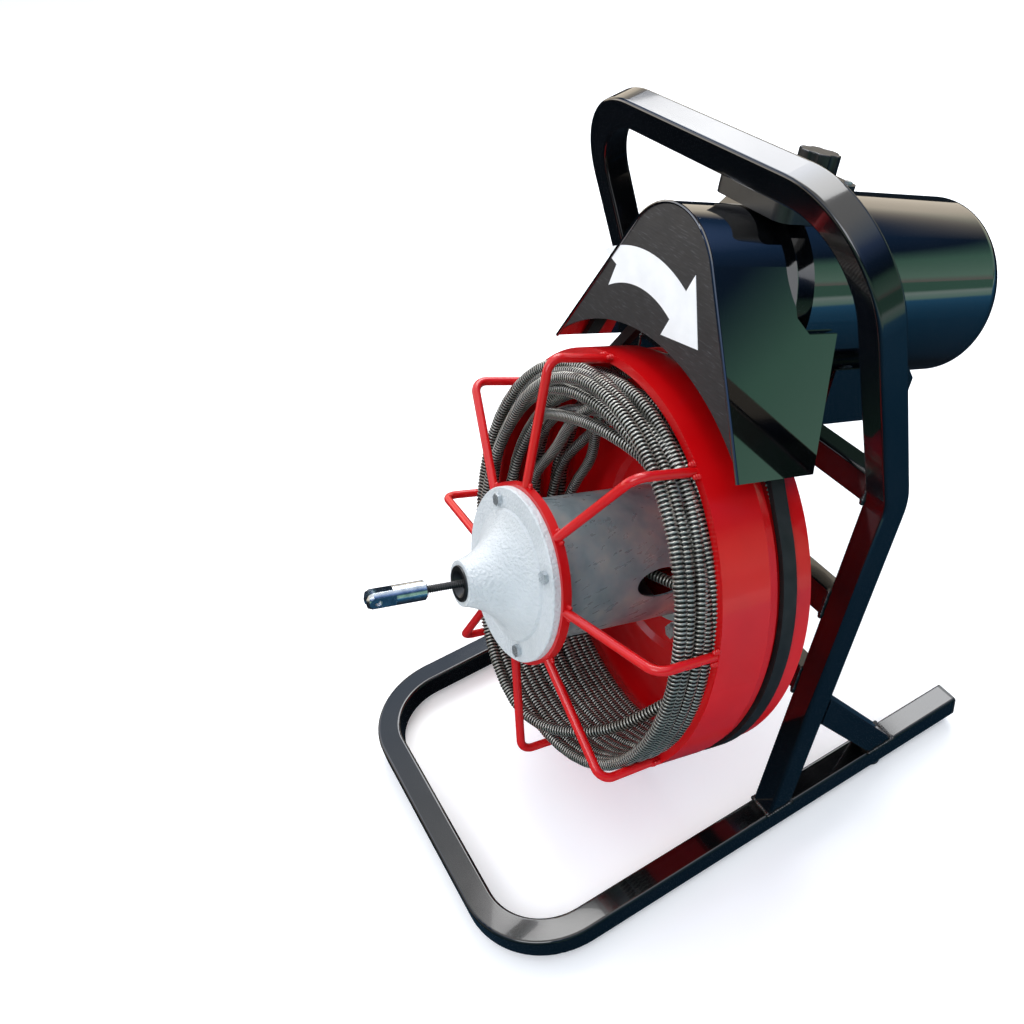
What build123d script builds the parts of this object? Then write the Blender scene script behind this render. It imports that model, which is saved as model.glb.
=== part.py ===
from build123d import *
from math import acos, asin, atan2, cos, degrees, radians, sin
import os

# Drum type drain snake machine, in millimetres.
# +Z is up, the nose points towards -Y, and the origin lies on the floor below the middle of the front rail.
# Most parts are placed in the machine plane, whose local x is across, y is up the tilted frame, and z is the
# station along the drum axis, counted from the drum's front rim and positive towards the nose.

# ---------------------------------------------------------------- driving dimensions
TUBE = 25.0  # square frame tube
TUBE_WALL = 2.0
TUBE_CORNER = 3.0
WIDTH = 382.0  # over both rails and both posts
BASE_LENGTH = 520.0
BASE_CORNER_RADIUS = 72.0  # tube centreline
FOOT_HEIGHT = 10.0
TILT = 20.0  # drum axis above level, and posts back from plumb
AXIS_Y = 227.0  # middle of the drum's front rim
AXIS_Z = 260.0
POST_STATION = -141.5  # post centreline, along the drum axis
BEND_HEIGHT = 153.0  # where the posts turn forward
FORWARD_LEAN = 7.0
UPPER_LENGTH = 242.0  # from the bend to the handle bar
BEND_RADIUS = 45.0
HANDLE_CORNER_RADIUS = 77.0
BRACE_FOOT_Y = 422.0
BRACE_ANGLE = 56.0

DRUM_RADIUS = 192.0
SHEET = 2.0
FRONT_BAND = 48.0
GROOVE_FRONT = -60.5
GROOVE_REAR = -78.5
GROOVE_RADIUS = 183.0
REAR_BAND_RADIUS = 189.0
DRUM_REAR = -94.0
LIP_WIDTH = 8.0

ROD_RADIUS = 4.0
ROD_COUNT = 8
ROD_PHASE = 10.0
CAGE_BEND_RADIUS = 191.0
CAGE_BEND_STATION = 57.5
RING_RADIUS = 81.0
RING_INNER = 55.0
RING_FRONT = 75.3
RING_THICKNESS = 8.0

HUB_TUBE_RADIUS = 63.0
HUB_TUBE_WALL = 3.0
NOSE_FLANGE_RADIUS = 77.5
NOSE_FLANGE = 7.0
NOSE_TIP = 129.0
NOSE_BOLT_CIRCLE = 66.5
NOSE_BOLT_PHASE = 32.5
HUB_BOLT_CIRCLE = 82.0
HUB_BOLT_PHASE = 28.0

CABLE_RADIUS = 5.5
LEADER_RADIUS = 3.5
CORE_REAR = 2.0
CORE_FRONT = 98.0
CLEVIS_REAR = 160.0
CLEVIS_FRONT = 212.0
CLEVIS_RADIUS = 8.5

MOTOR_HEIGHT = 260.0  # motor axis above the drum axis
MOTOR_RADIUS = 79.0
MOTOR_WALL = 2.5
MOTOR_FRONT = -104.0
MOTOR_COVER = -308.0
MOTOR_REAR = -334.0
COVER_ROUND = 18.0
BELL_RADIUS = 70.0
BELL_FRONT = -92.0
MOTOR_SHAFT_RADIUS = 7.5

BELT_STATION = -69.0
BELT_OUTER = 7.0  # half width of the belt's back
BELT_INNER = 4.5
BELT_HEIGHT = 8.0
BELT_ON_DRUM = 184.0  # radius of the belt's inside on the drum
BELT_ON_PULLEY = 26.0

GUARD_FRONT = -14.0
GUARD_REAR = -92.0
GUARD_RADIUS = 64.0
GUARD_WALL = 1.5
GUARD_ARC = 216.0
GUARD_CORNER_X = 142.0
GUARD_CORNER_H = 160.0

# Fasteners: across flats, head, nut, and how far a thread stands out past the face its nut rests on.
M8_HEX = 13.0
M8_HEAD = 5.3
M8_NUT = 6.5
M8_TAIL = 9.0
M8_WASHER_RADIUS = 8.5
M6_HEX = 10.0
M6_HEAD = 4.0
M6_TAIL = 8.0

# ---------------------------------------------------------------- shared places
RAIL_TOP = FOOT_HEIGHT + TUBE
RAIL_MIDDLE = FOOT_HEIGHT + TUBE / 2
RAIL_X = (WIDTH - TUBE) / 2
POST_INNER_X = WIDTH / 2 - TUBE
TILT_COS = cos(radians(TILT))
TILT_SIN = sin(radians(TILT))

MACHINE = Plane(origin=(0, AXIS_Y, AXIS_Z), x_dir=(1, 0, 0), z_dir=(0, -TILT_COS, TILT_SIN))
DRUM_AXIS = Axis(MACHINE.origin, MACHINE.z_dir)
MOTOR_CENTRE = (0, MOTOR_HEIGHT)


def place(x, height, station):
    """Point in the part's frame for a place in the machine plane."""
    return MACHINE.from_local_coords(Vector(x, height, station))


def radial_half_plane(angle=0.0, height=0.0):
    """Plane through an axis parallel to the drum's: local x is the radius and local y the station."""
    outward = MACHINE.x_dir * cos(radians(angle)) + MACHINE.y_dir * sin(radians(angle))
    return Plane(origin=place(0, height, 0), x_dir=outward, z_dir=outward.cross(MACHINE.z_dir))


def across(x, height, station):
    """Plane that faces +X, with local x up the tilted frame and local y the station."""
    return Plane(origin=place(x, height, station), x_dir=MACHINE.y_dir, z_dir=(1, 0, 0))


DRUM_SECTION = radial_half_plane()
MOTOR_SECTION = radial_half_plane(height=MOTOR_HEIGHT)
MOTOR_AXIS = Axis(place(0, MOTOR_HEIGHT, 0), MACHINE.z_dir)

# Every shape is drawn from the base's front edge. The finished machine stands with the middle of its length at zero:
# its length runs from that edge to the furthest point of the motor's rounded rear cover.
MACHINE_LENGTH = (
    AXIS_Y
    + TILT_SIN * (MOTOR_HEIGHT + MOTOR_RADIUS - COVER_ROUND)
    - TILT_COS * (MOTOR_REAR + COVER_ROUND)
    + COVER_ROUND
)

os.makedirs("parts", exist_ok=True)


def save(part, name):
    """Writes one finished piece, moved so that the machine's footprint is centred on the origin."""
    moved = Pos(0, -MACHINE_LENGTH / 2, 0) * part
    moved.label = name
    export_step(moved, f"parts/{name}.step")


def tube_section(size=TUBE, wall=TUBE_WALL, corner=TUBE_CORNER):
    """Hollow square tube section in the sketch that is open."""
    RectangleRounded(size, size, corner)
    RectangleRounded(size - 2 * wall, size - 2 * wall, corner - wall, mode=Mode.SUBTRACT)


def ring_solid(outer, inner, front, rear, centre=(0, 0)):
    """Adds a plain ring between two stations to the open part."""
    with BuildSketch(MACHINE.offset(rear)) as outline:
        with Locations(centre):
            Circle(outer)
            if inner > 0:
                Circle(inner, mode=Mode.SUBTRACT)
    extrude(outline.sketch, amount=front - rear)


def hexagon(across_flats, front, rear, places, hole=0.0):
    """Adds hexagonal prisms, such as bolt heads and nuts, to the open part."""
    with BuildSketch(MACHINE.offset(rear)) as outline:
        with Locations(*places):
            RegularPolygon(across_flats / 2, 6, major_radius=False)
            if hole > 0:
                Circle(hole, mode=Mode.SUBTRACT)
    extrude(outline.sketch, amount=front - rear)


def discs(radius, front, rear, places):
    """Adds round pins or washers at several places to the open part."""
    with BuildSketch(MACHINE.offset(rear)) as outline:
        with Locations(*places):
            Circle(radius)
    extrude(outline.sketch, amount=front - rear)


def on_circle(radius, phase, count=4, centre=(0, 0)):
    """Places spaced evenly on a circle in the machine plane."""
    angles = [radians(phase + 360 / count * k) for k in range(count)]
    return [(centre[0] + radius * cos(a), centre[1] + radius * sin(a)) for a in angles]


# ================================================================ frame
# Base: one tube bent into a U, open at the back.
with BuildPart() as base_frame:
    with BuildLine() as base_path:
        FilletPolyline(
            (-RAIL_X, BASE_LENGTH, RAIL_MIDDLE),
            (-RAIL_X, TUBE / 2, RAIL_MIDDLE),
            (RAIL_X, TUBE / 2, RAIL_MIDDLE),
            (RAIL_X, BASE_LENGTH, RAIL_MIDDLE),
            radius=BASE_CORNER_RADIUS,
        )
    with BuildSketch(Plane(origin=base_path.line @ 0, x_dir=(1, 0, 0), z_dir=base_path.line % 0)):
        tube_section()
    sweep()
save(base_frame.part, "base_frame")

# Plastic plugs that close the rails' rear ends.
PLUG_HEAD = 3.0
PLUG_DEPTH = 14.0
PLUG_WIDTH = TUBE - 2 * TUBE_WALL - 0.4
with BuildPart() as rail_end_plugs:
    with BuildSketch(Plane.XZ.offset(-BASE_LENGTH)):
        with Locations((-RAIL_X, RAIL_MIDDLE), (RAIL_X, RAIL_MIDDLE)):
            RectangleRounded(TUBE, TUBE, TUBE_CORNER)
    extrude(amount=-PLUG_HEAD)
    with BuildSketch(Plane.XZ.offset(-BASE_LENGTH)):
        with Locations((-RAIL_X, RAIL_MIDDLE), (RAIL_X, RAIL_MIDDLE)):
            RectangleRounded(PLUG_WIDTH, PLUG_WIDTH, TUBE_CORNER - TUBE_WALL)
    extrude(amount=PLUG_DEPTH)
save(rail_end_plugs.part, "rail_end_plugs")

# Rubber feet: a pair under the front rail and a pair under the braces.
FOOT_RADIUS = 9.0
FRONT_FOOT_X = 70.0
FEET = [(-FRONT_FOOT_X, TUBE / 2), (FRONT_FOOT_X, TUBE / 2), (-RAIL_X, BRACE_FOOT_Y), (RAIL_X, BRACE_FOOT_Y)]
with BuildPart() as rubber_feet:
    with BuildSketch():
        with Locations(*FEET):
            Circle(FOOT_RADIUS)
    extrude(amount=FOOT_HEIGHT)
    chamfer(rubber_feet.faces().filter_by(Axis.Z).group_by(Axis.Z)[0].edges(), 1.5)
save(rubber_feet.part, "rubber_feet")

# Upright: posts and handle bent from one tube, cut flat where it is welded to the rails.
POST_BELOW_RAIL = 40.0
lean_up = Vector(0, -sin(radians(FORWARD_LEAN)), cos(radians(FORWARD_LEAN)))
bend = place(0, BEND_HEIGHT, POST_STATION)
foot_height = (RAIL_TOP - POST_BELOW_RAIL - AXIS_Z + POST_STATION * -TILT_SIN) / TILT_COS
post_foot = place(0, foot_height, POST_STATION)
handle = bend + lean_up * UPPER_LENGTH
side = Vector(RAIL_X, 0, 0)
with BuildPart() as upright_frame:
    with BuildLine() as upright_path:
        FilletPolyline(
            post_foot - side,
            bend - side,
            handle - side,
            handle + side,
            bend + side,
            post_foot + side,
            radius=[BEND_RADIUS, HANDLE_CORNER_RADIUS, HANDLE_CORNER_RADIUS, BEND_RADIUS],
        )
    with BuildSketch(Plane(origin=upright_path.line @ 0, x_dir=(1, 0, 0), z_dir=upright_path.line % 0)):
        tube_section()
    sweep()
    split(bisect_by=Plane.XY.offset(RAIL_TOP), keep=Keep.TOP)
save(upright_frame.part, "upright_frame")

# Braces: short tubes from the back of each post down to its rail.
BRACE_BLANK = 240.0
brace_up = Vector(0, -cos(radians(BRACE_ANGLE)), sin(radians(BRACE_ANGLE)))
post_back = Plane(origin=place(0, 0, POST_STATION - TUBE / 2), x_dir=(1, 0, 0), z_dir=-MACHINE.z_dir)
for brace_name, brace_x in (("brace_left", -RAIL_X), ("brace_right", RAIL_X)):
    brace_start = Vector(brace_x, BRACE_FOOT_Y, RAIL_TOP) - brace_up * TUBE
    with BuildPart() as brace:
        with BuildSketch(Plane(origin=brace_start, x_dir=(1, 0, 0), z_dir=brace_up)):
            tube_section()
        extrude(amount=BRACE_BLANK)
        split(bisect_by=Plane.XY.offset(RAIL_TOP), keep=Keep.TOP)
        split(bisect_by=post_back, keep=Keep.TOP)
    save(brace.part, brace_name)

# Cross bars between the posts: two carry the drum's bearing, one carries the motor.
BEARING_BAR_HEIGHT = 42.0
MOTOR_BAR_HEIGHT = 155.5
BAR_BACK = POST_STATION - TUBE / 2
PLATE_BOLT_X = 45.0
PLATE_BOLT = 4.0
BOLT_CLEARANCE = 0.25
bar_heights = (-BEARING_BAR_HEIGHT, BEARING_BAR_HEIGHT)
plate_bolts = [(x, h) for x in (-PLATE_BOLT_X, PLATE_BOLT_X) for h in bar_heights]


def cross_bar(height):
    """Adds one tube between the posts to the open part."""
    with BuildSketch(across(-POST_INNER_X, height, POST_STATION)) as outline:
        tube_section()
    extrude(outline.sketch, amount=2 * POST_INNER_X)


with BuildPart() as bearing_bars:
    for bar_height in bar_heights:
        cross_bar(bar_height)
    with BuildSketch(MACHINE.offset(BAR_BACK)):
        with Locations(*plate_bolts):
            Circle(PLATE_BOLT + BOLT_CLEARANCE)
    extrude(amount=TUBE, mode=Mode.SUBTRACT)
save(bearing_bars.part, "bearing_bars")

with BuildPart() as motor_bar:
    cross_bar(MOTOR_BAR_HEIGHT)
save(motor_bar.part, "motor_bar")

# ================================================================ drum bearing
PLATE_WIDTH = 120.0
PLATE_HEIGHT = 130.0
PLATE = 6.0
PLATE_REAR = POST_STATION + TUBE / 2
PLATE_FRONT = PLATE_REAR + PLATE
HOUSING_RADIUS = 28.0
HOUSING_REAR = -165.0
BEARING_RADIUS = 23.5
BEARING_WIDTH = 14.0
SHAFT_RADIUS = 10.0
SHAFT_CLEARANCE = 0.05
BEARING_FRONT = PLATE_FRONT - 1.0
BEARING_REAR = HOUSING_REAR + 1.0

with BuildPart() as bearing_housing:
    with BuildSketch(MACHINE.offset(PLATE_REAR)):
        RectangleRounded(PLATE_WIDTH, PLATE_HEIGHT, 8)
        with Locations(*plate_bolts):
            Circle(PLATE_BOLT + BOLT_CLEARANCE, mode=Mode.SUBTRACT)
    extrude(amount=PLATE)
    ring_solid(HOUSING_RADIUS, 0, PLATE_FRONT, HOUSING_REAR)
    with BuildSketch(MACHINE.offset(HOUSING_REAR)):
        Circle(BEARING_RADIUS - 2)
    extrude(amount=PLATE_FRONT - HOUSING_REAR, mode=Mode.SUBTRACT)
    for seat_rear in (HOUSING_REAR, BEARING_FRONT - BEARING_WIDTH):
        with BuildSketch(MACHINE.offset(seat_rear)):
            Circle(BEARING_RADIUS)
        extrude(amount=BEARING_WIDTH + 1, mode=Mode.SUBTRACT)
save(bearing_housing.part, "bearing_housing")

with BuildPart() as drum_bearings:
    for bearing_rear in (BEARING_REAR, BEARING_FRONT - BEARING_WIDTH):
        ring_solid(BEARING_RADIUS, SHAFT_RADIUS + SHAFT_CLEARANCE, bearing_rear + BEARING_WIDTH, bearing_rear)
save(drum_bearings.part, "drum_bearings")

# The plate's bolts go right through the bars, with nuts behind.
with BuildPart() as bearing_bolts:
    hexagon(M8_HEX, PLATE_FRONT + M8_HEAD, PLATE_FRONT, plate_bolts)
    discs(PLATE_BOLT, PLATE_FRONT, BAR_BACK - M8_TAIL, plate_bolts)
    hexagon(M8_HEX, BAR_BACK, BAR_BACK - M8_NUT, plate_bolts)
save(bearing_bolts.part, "bearing_bolts")

# ================================================================ drum
STEP_RADIUS = 190.0  # front band's rear edge, where it rolls down to the groove
with BuildPart() as drum_shell:
    with BuildSketch(DRUM_SECTION):
        with BuildLine():
            Polyline(
                (DRUM_RADIUS - LIP_WIDTH, 0),
                (DRUM_RADIUS, 0),
                (DRUM_RADIUS, -FRONT_BAND),
                (STEP_RADIUS, -FRONT_BAND - 9),
                (GROOVE_RADIUS, GROOVE_FRONT),
                (GROOVE_RADIUS, GROOVE_REAR),
                (REAR_BAND_RADIUS, GROOVE_REAR),
                (REAR_BAND_RADIUS, DRUM_REAR),
                (REAR_BAND_RADIUS - LIP_WIDTH, DRUM_REAR),
                (REAR_BAND_RADIUS - LIP_WIDTH, DRUM_REAR + SHEET),
                (REAR_BAND_RADIUS - SHEET, DRUM_REAR + SHEET),
                (REAR_BAND_RADIUS - SHEET, GROOVE_REAR - SHEET),
                (GROOVE_RADIUS - SHEET, GROOVE_REAR - SHEET),
                (GROOVE_RADIUS - SHEET, GROOVE_FRONT + SHEET),
                (STEP_RADIUS - SHEET, -FRONT_BAND - 8),
                (DRUM_RADIUS - SHEET, -FRONT_BAND),
                (DRUM_RADIUS - SHEET, -SHEET - 1),
                (DRUM_RADIUS - LIP_WIDTH, -SHEET - 1),
                close=True,
            )
        make_face()
    revolve(axis=DRUM_AXIS)
save(drum_shell.part, "drum_shell")

# Back plate, with a raised ring pressed into it and a hole for the hub.
BACK_REAR = DRUM_REAR + SHEET
BACK_FRONT = BACK_REAR + SHEET
BACK_BORE = 20.0
EMBOSS = 5.0
EMBOSS_INNER = 98.0
EMBOSS_OUTER = 122.0
hub_bolts = on_circle(HUB_BOLT_CIRCLE, HUB_BOLT_PHASE)
HUB_BOLT = 4.0
with BuildPart() as drum_back_plate:
    with BuildSketch(DRUM_SECTION):
        with BuildLine():
            Polyline(
                (BACK_BORE, BACK_REAR),
                (EMBOSS_INNER, BACK_REAR),
                (EMBOSS_INNER + EMBOSS, BACK_REAR + EMBOSS),
                (EMBOSS_OUTER, BACK_REAR + EMBOSS),
                (EMBOSS_OUTER + EMBOSS, BACK_REAR),
                (REAR_BAND_RADIUS - SHEET, BACK_REAR),
                (REAR_BAND_RADIUS - SHEET, BACK_FRONT),
                (EMBOSS_OUTER + EMBOSS + 1, BACK_FRONT),
                (EMBOSS_OUTER + 1, BACK_FRONT + EMBOSS),
                (EMBOSS_INNER + EMBOSS - 1, BACK_FRONT + EMBOSS),
                (EMBOSS_INNER - 1, BACK_FRONT),
                (BACK_BORE, BACK_FRONT),
                close=True,
            )
        make_face()
    revolve(axis=DRUM_AXIS)
    with BuildSketch(MACHINE.offset(BACK_REAR)):
        with Locations(*hub_bolts):
            Circle(HUB_BOLT + BOLT_CLEARANCE)
    extrude(amount=SHEET, mode=Mode.SUBTRACT)
save(drum_back_plate.part, "drum_back_plate")

# Hub behind the plate, and the shaft welded into it.
HUB_RADIUS = 96.0
HUB_FLANGE = 6.0
HUB_BOSS_RADIUS = 20.0
HUB_REAR = BACK_REAR - HUB_FLANGE
BOSS_REAR = -116.0
SHOULDER_RADIUS = 12.0
SHOULDER_REAR = BEARING_FRONT + 0.3
SHAFT_REAR = -182.0
with BuildPart() as drum_hub:
    ring_solid(HUB_RADIUS, SHOULDER_RADIUS, BACK_REAR, HUB_REAR)
    ring_solid(HUB_BOSS_RADIUS, SHOULDER_RADIUS, HUB_REAR, BOSS_REAR)
    with BuildSketch(MACHINE.offset(HUB_REAR)):
        with Locations(*hub_bolts):
            Circle(HUB_BOLT + BOLT_CLEARANCE)
    extrude(amount=HUB_FLANGE, mode=Mode.SUBTRACT)
save(drum_hub.part, "drum_hub")

with BuildPart() as drum_shaft:
    ring_solid(SHOULDER_RADIUS, 0, BACK_REAR, SHOULDER_REAR)
    ring_solid(SHAFT_RADIUS, 0, SHOULDER_REAR, SHAFT_REAR)
save(drum_shaft.part, "drum_shaft")

# Washer and nut that keep the shaft in its bearings.
WASHER_FRONT = HOUSING_REAR - 0.3
NUT_FRONT = WASHER_FRONT - 2.5
NUT_HEX = 30.0
NUT_DEPTH = 10.0
NUT_WASHER_RADIUS = 17.0
with BuildPart() as shaft_nut:
    ring_solid(NUT_WASHER_RADIUS, SHAFT_RADIUS, WASHER_FRONT, NUT_FRONT)
    hexagon(NUT_HEX, NUT_FRONT, NUT_FRONT - NUT_DEPTH, [(0, 0)], hole=SHAFT_RADIUS)
save(shaft_nut.part, "shaft_nut")

# Bolts, washers and nuts that clamp the hub to the back plate.
HUB_WASHER = 1.6
with BuildPart() as hub_bolt_set:
    discs(M8_WASHER_RADIUS, BACK_FRONT + HUB_WASHER, BACK_FRONT, hub_bolts)
    hexagon(M8_HEX, BACK_FRONT + HUB_WASHER + M8_HEAD, BACK_FRONT + HUB_WASHER, hub_bolts)
    discs(HUB_BOLT, BACK_FRONT, HUB_REAR - M8_TAIL, hub_bolts)
    hexagon(M8_HEX, HUB_REAR, HUB_REAR - M8_NUT, hub_bolts)
save(hub_bolt_set.part, "hub_bolt_set")

# Hub tube, with a rounded slot that lets the cable in to the axis.
SLOT_STATION = -39.0
SLOT_LENGTH = 56.0
SLOT_WIDTH = 28.0
SLOT_ANGLE = 10.0
TUBE_FLANGE_RADIUS = 72.0
TUBE_FLANGE = 3.0
RING_REAR = RING_FRONT - RING_THICKNESS
slot_out = MACHINE.x_dir * cos(radians(SLOT_ANGLE)) + MACHINE.y_dir * sin(radians(SLOT_ANGLE))
with BuildPart() as hub_tube:
    ring_solid(HUB_TUBE_RADIUS, HUB_TUBE_RADIUS - HUB_TUBE_WALL, RING_REAR, BACK_FRONT)
    ring_solid(TUBE_FLANGE_RADIUS, HUB_TUBE_RADIUS - HUB_TUBE_WALL, BACK_FRONT + TUBE_FLANGE, BACK_FRONT)
    with BuildSketch(Plane(origin=place(0, 0, SLOT_STATION), x_dir=MACHINE.z_dir, z_dir=slot_out)):
        Ellipse(SLOT_LENGTH / 2, SLOT_WIDTH / 2)
    extrude(amount=HUB_TUBE_RADIUS + 5, mode=Mode.SUBTRACT)
save(hub_tube.part, "hub_tube")

# ================================================================ cage and nose
nose_bolts = on_circle(NOSE_BOLT_CIRCLE, NOSE_BOLT_PHASE)
NOSE_BOLT = 3.0
with BuildPart() as cage_ring:
    ring_solid(RING_RADIUS, RING_INNER, RING_FRONT, RING_REAR)
    with BuildSketch(MACHINE.offset(RING_REAR)):
        with Locations(*nose_bolts):
            Circle(NOSE_BOLT)
    extrude(amount=RING_THICKNESS, mode=Mode.SUBTRACT)
save(cage_ring.part, "cage_ring")

# Eight bent rods from the ring's edge out and back to the drum's lip.
ROD_FILLET = 13.0
ROD_WELD = 0.4  # how far a rod's end sinks into the ring's edge
with BuildPart() as cage_rods:
    for k in range(ROD_COUNT):
        rod_angle = radians(ROD_PHASE + 360 / ROD_COUNT * k)
        rod_points = [
            place(r * cos(rod_angle), r * sin(rod_angle), s)
            for r, s in (
                (RING_RADIUS - ROD_WELD, RING_FRONT - RING_THICKNESS / 2),
                (CAGE_BEND_RADIUS, CAGE_BEND_STATION),
                (DRUM_RADIUS - LIP_WIDTH / 2 - 0.5, 0),
            )
        ]
        with BuildLine() as rod_path:
            FilletPolyline(*rod_points, radius=ROD_FILLET)
        with BuildSketch(Plane(origin=rod_path.line @ 0, z_dir=rod_path.line % 0)):
            Circle(ROD_RADIUS)
        sweep(path=rod_path.line)
save(cage_rods.part, "cage_rods")

# Nose cone: a flanged casting that flares from a narrow mouth, hollow inside.
CONE_BASE_RADIUS = 57.5
CONE_BASE = 84.4
MOUTH_RADIUS = 20.0
BUSHING_RADIUS = 16.0
BUSHING_REAR = 116.0
FLANGE_FRONT = RING_FRONT + NOSE_FLANGE
with BuildPart() as nose_cone:
    with BuildSketch(DRUM_SECTION):
        with BuildLine():
            Polyline(
                (50, RING_FRONT),
                (NOSE_FLANGE_RADIUS, RING_FRONT),
                (NOSE_FLANGE_RADIUS, FLANGE_FRONT - 1),
                (NOSE_FLANGE_RADIUS - 1, FLANGE_FRONT),
                (CONE_BASE_RADIUS + 1.5, FLANGE_FRONT),
                (CONE_BASE_RADIUS, CONE_BASE),
            )
            Spline(
                (CONE_BASE_RADIUS, CONE_BASE),
                (44, 91.5),
                (32, 103),
                (24, 116.5),
                (MOUTH_RADIUS, NOSE_TIP),
            )
            Polyline(
                (MOUTH_RADIUS, NOSE_TIP),
                (BUSHING_RADIUS, NOSE_TIP),
                (BUSHING_RADIUS, BUSHING_REAR),
                (12, BUSHING_REAR),
                (12, BUSHING_REAR - 3),
                (16, BUSHING_REAR - 5),
            )
            Spline((16, BUSHING_REAR - 5), (26, 97), (38, 85.5), (50, RING_FRONT))
        make_face()
    revolve(axis=DRUM_AXIS)
    with BuildSketch(MACHINE.offset(RING_FRONT)):
        with Locations(*nose_bolts):
            Circle(NOSE_BOLT + BOLT_CLEARANCE)
    extrude(amount=NOSE_FLANGE, mode=Mode.SUBTRACT)
save(nose_cone.part, "nose_cone")

with BuildPart() as nose_bolt_set:
    hexagon(M6_HEX, FLANGE_FRONT + M6_HEAD, FLANGE_FRONT, nose_bolts)
    discs(NOSE_BOLT, FLANGE_FRONT, RING_REAR - M6_TAIL, nose_bolts)
save(nose_bolt_set.part, "nose_bolt_set")

# Bushing in the nose, dished at the front, with a bore that the whole cable passes.
BUSHING_BORE = 6.5
BUSHING_FRONT = NOSE_TIP + 1.5
with BuildPart() as nose_bushing:
    with BuildSketch(DRUM_SECTION):
        with BuildLine():
            Polyline(
                (BUSHING_BORE, BUSHING_REAR),
                (BUSHING_RADIUS, BUSHING_REAR),
                (BUSHING_RADIUS, NOSE_TIP),
                (BUSHING_RADIUS - 0.5, BUSHING_FRONT),
                (BUSHING_RADIUS - 4, BUSHING_FRONT),
                (BUSHING_BORE + 1, BUSHING_FRONT - 5),
                (BUSHING_BORE, BUSHING_FRONT - 6),
                close=True,
            )
        make_face()
    revolve(axis=DRUM_AXIS)
save(nose_bushing.part, "nose_bushing")

# ================================================================ cable
# The hank of loose turns, as one solid of its outer shape.
HANK_INNER = 128.0
HANK_OUTER = 182.0
HANK_BACK_OUTER = 178.0
HANK_REAR = -82.0
HANK_FRONT = 40.0
with BuildPart() as cable_hank:
    with BuildSketch(DRUM_SECTION):
        with BuildLine():
            Polyline(
                (HANK_INNER, HANK_REAR),
                (HANK_BACK_OUTER, HANK_REAR),
                (HANK_BACK_OUTER, GROOVE_FRONT + 4),
                (HANK_OUTER, GROOVE_FRONT + 14),
                (HANK_OUTER, HANK_FRONT - 12),
                (HANK_OUTER - 12, HANK_FRONT),
                (HANK_INNER + 12, HANK_FRONT),
                (HANK_INNER, HANK_FRONT - 12),
                close=True,
            )
        make_face()
    revolve(axis=DRUM_AXIS)
save(cable_hank.part, "cable_hank")

# Lead: from the hank through the hub tube's slot, then forward along the axis.
LEAD_TURN = -28.0
LEAD_RADIUS = 38.0
LEAD_END = HANK_INNER + 2
LEAD_END_STATION = -60.0
with BuildPart() as cable_lead:
    with BuildLine() as lead_path:
        FilletPolyline(
            place(0, 0, CORE_REAR),
            place(0, 0, LEAD_TURN),
            place(LEAD_END * cos(radians(SLOT_ANGLE)), LEAD_END * sin(radians(SLOT_ANGLE)), LEAD_END_STATION),
            radius=LEAD_RADIUS,
        )
    with BuildSketch(Plane(origin=lead_path.line @ 0, z_dir=lead_path.line % 0)):
        Circle(CABLE_RADIUS)
    sweep()
save(cable_lead.part, "cable_lead")

# Straight end of the cable inside the hub tube, its bare leader, and the coupling on the leader's tip.
SOCKET_DEPTH = 10.0
with BuildPart() as cable_end:
    ring_solid(CABLE_RADIUS, 0, CORE_FRONT, CORE_REAR + 0.3)
save(cable_end.part, "cable_end")

with BuildPart() as leader_rod:
    ring_solid(LEADER_RADIUS, 0, CLEVIS_REAR + SOCKET_DEPTH, CORE_FRONT)
save(leader_rod.part, "leader_rod")

# Coupling: a turned socket whose front is a fork, open at the tip, with a cross hole for the cutter's screw.
FORK_SLOT = 6.0
FORK_DEPTH = 22.0
FORK_FLAT = 14.0
PIN_RADIUS = 3.0
PIN_STATION = CLEVIS_FRONT - 9.0
with BuildPart() as clevis_coupling:
    with BuildSketch(DRUM_SECTION):
        with BuildLine():
            Polyline(
                (0, CLEVIS_REAR + SOCKET_DEPTH),
                (LEADER_RADIUS, CLEVIS_REAR + SOCKET_DEPTH),
                (LEADER_RADIUS, CLEVIS_REAR),
                (CLEVIS_RADIUS - 2, CLEVIS_REAR),
                (CLEVIS_RADIUS, CLEVIS_REAR + 2),
                (CLEVIS_RADIUS, CLEVIS_FRONT - 5),
                (CLEVIS_RADIUS - 1.5, CLEVIS_FRONT - 1.5),
                (CLEVIS_RADIUS - 5, CLEVIS_FRONT),
                (0, CLEVIS_FRONT),
                close=True,
            )
        make_face()
    revolve(axis=DRUM_AXIS)
    with BuildSketch(MACHINE.offset(CLEVIS_FRONT - FORK_DEPTH)):
        Rectangle(FORK_SLOT, 3 * CLEVIS_RADIUS)
    extrude(amount=FORK_DEPTH, mode=Mode.SUBTRACT)
    with BuildSketch(MACHINE.offset(CLEVIS_FRONT - FORK_DEPTH - 2)):
        with Locations((FORK_FLAT, 0), (-FORK_FLAT, 0)):
            Rectangle(FORK_FLAT, 3 * CLEVIS_RADIUS)
    extrude(amount=FORK_DEPTH + 2, mode=Mode.SUBTRACT)
    with BuildSketch(across(-CLEVIS_RADIUS, 0, PIN_STATION)):
        Circle(PIN_RADIUS)
    extrude(amount=2 * CLEVIS_RADIUS, mode=Mode.SUBTRACT)
save(clevis_coupling.part, "clevis_coupling")

# ================================================================ motor
SHAFT_FIT = MOTOR_SHAFT_RADIUS + SHAFT_CLEARANCE
MOTOR_BEARING = 17.5
MOTOR_BEARING_WIDTH = 11.0
SHELL_INNER = MOTOR_RADIUS - MOTOR_WALL
SPIGOT_RADIUS = SHELL_INNER - 0.2
SPIGOT = 9.0

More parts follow.
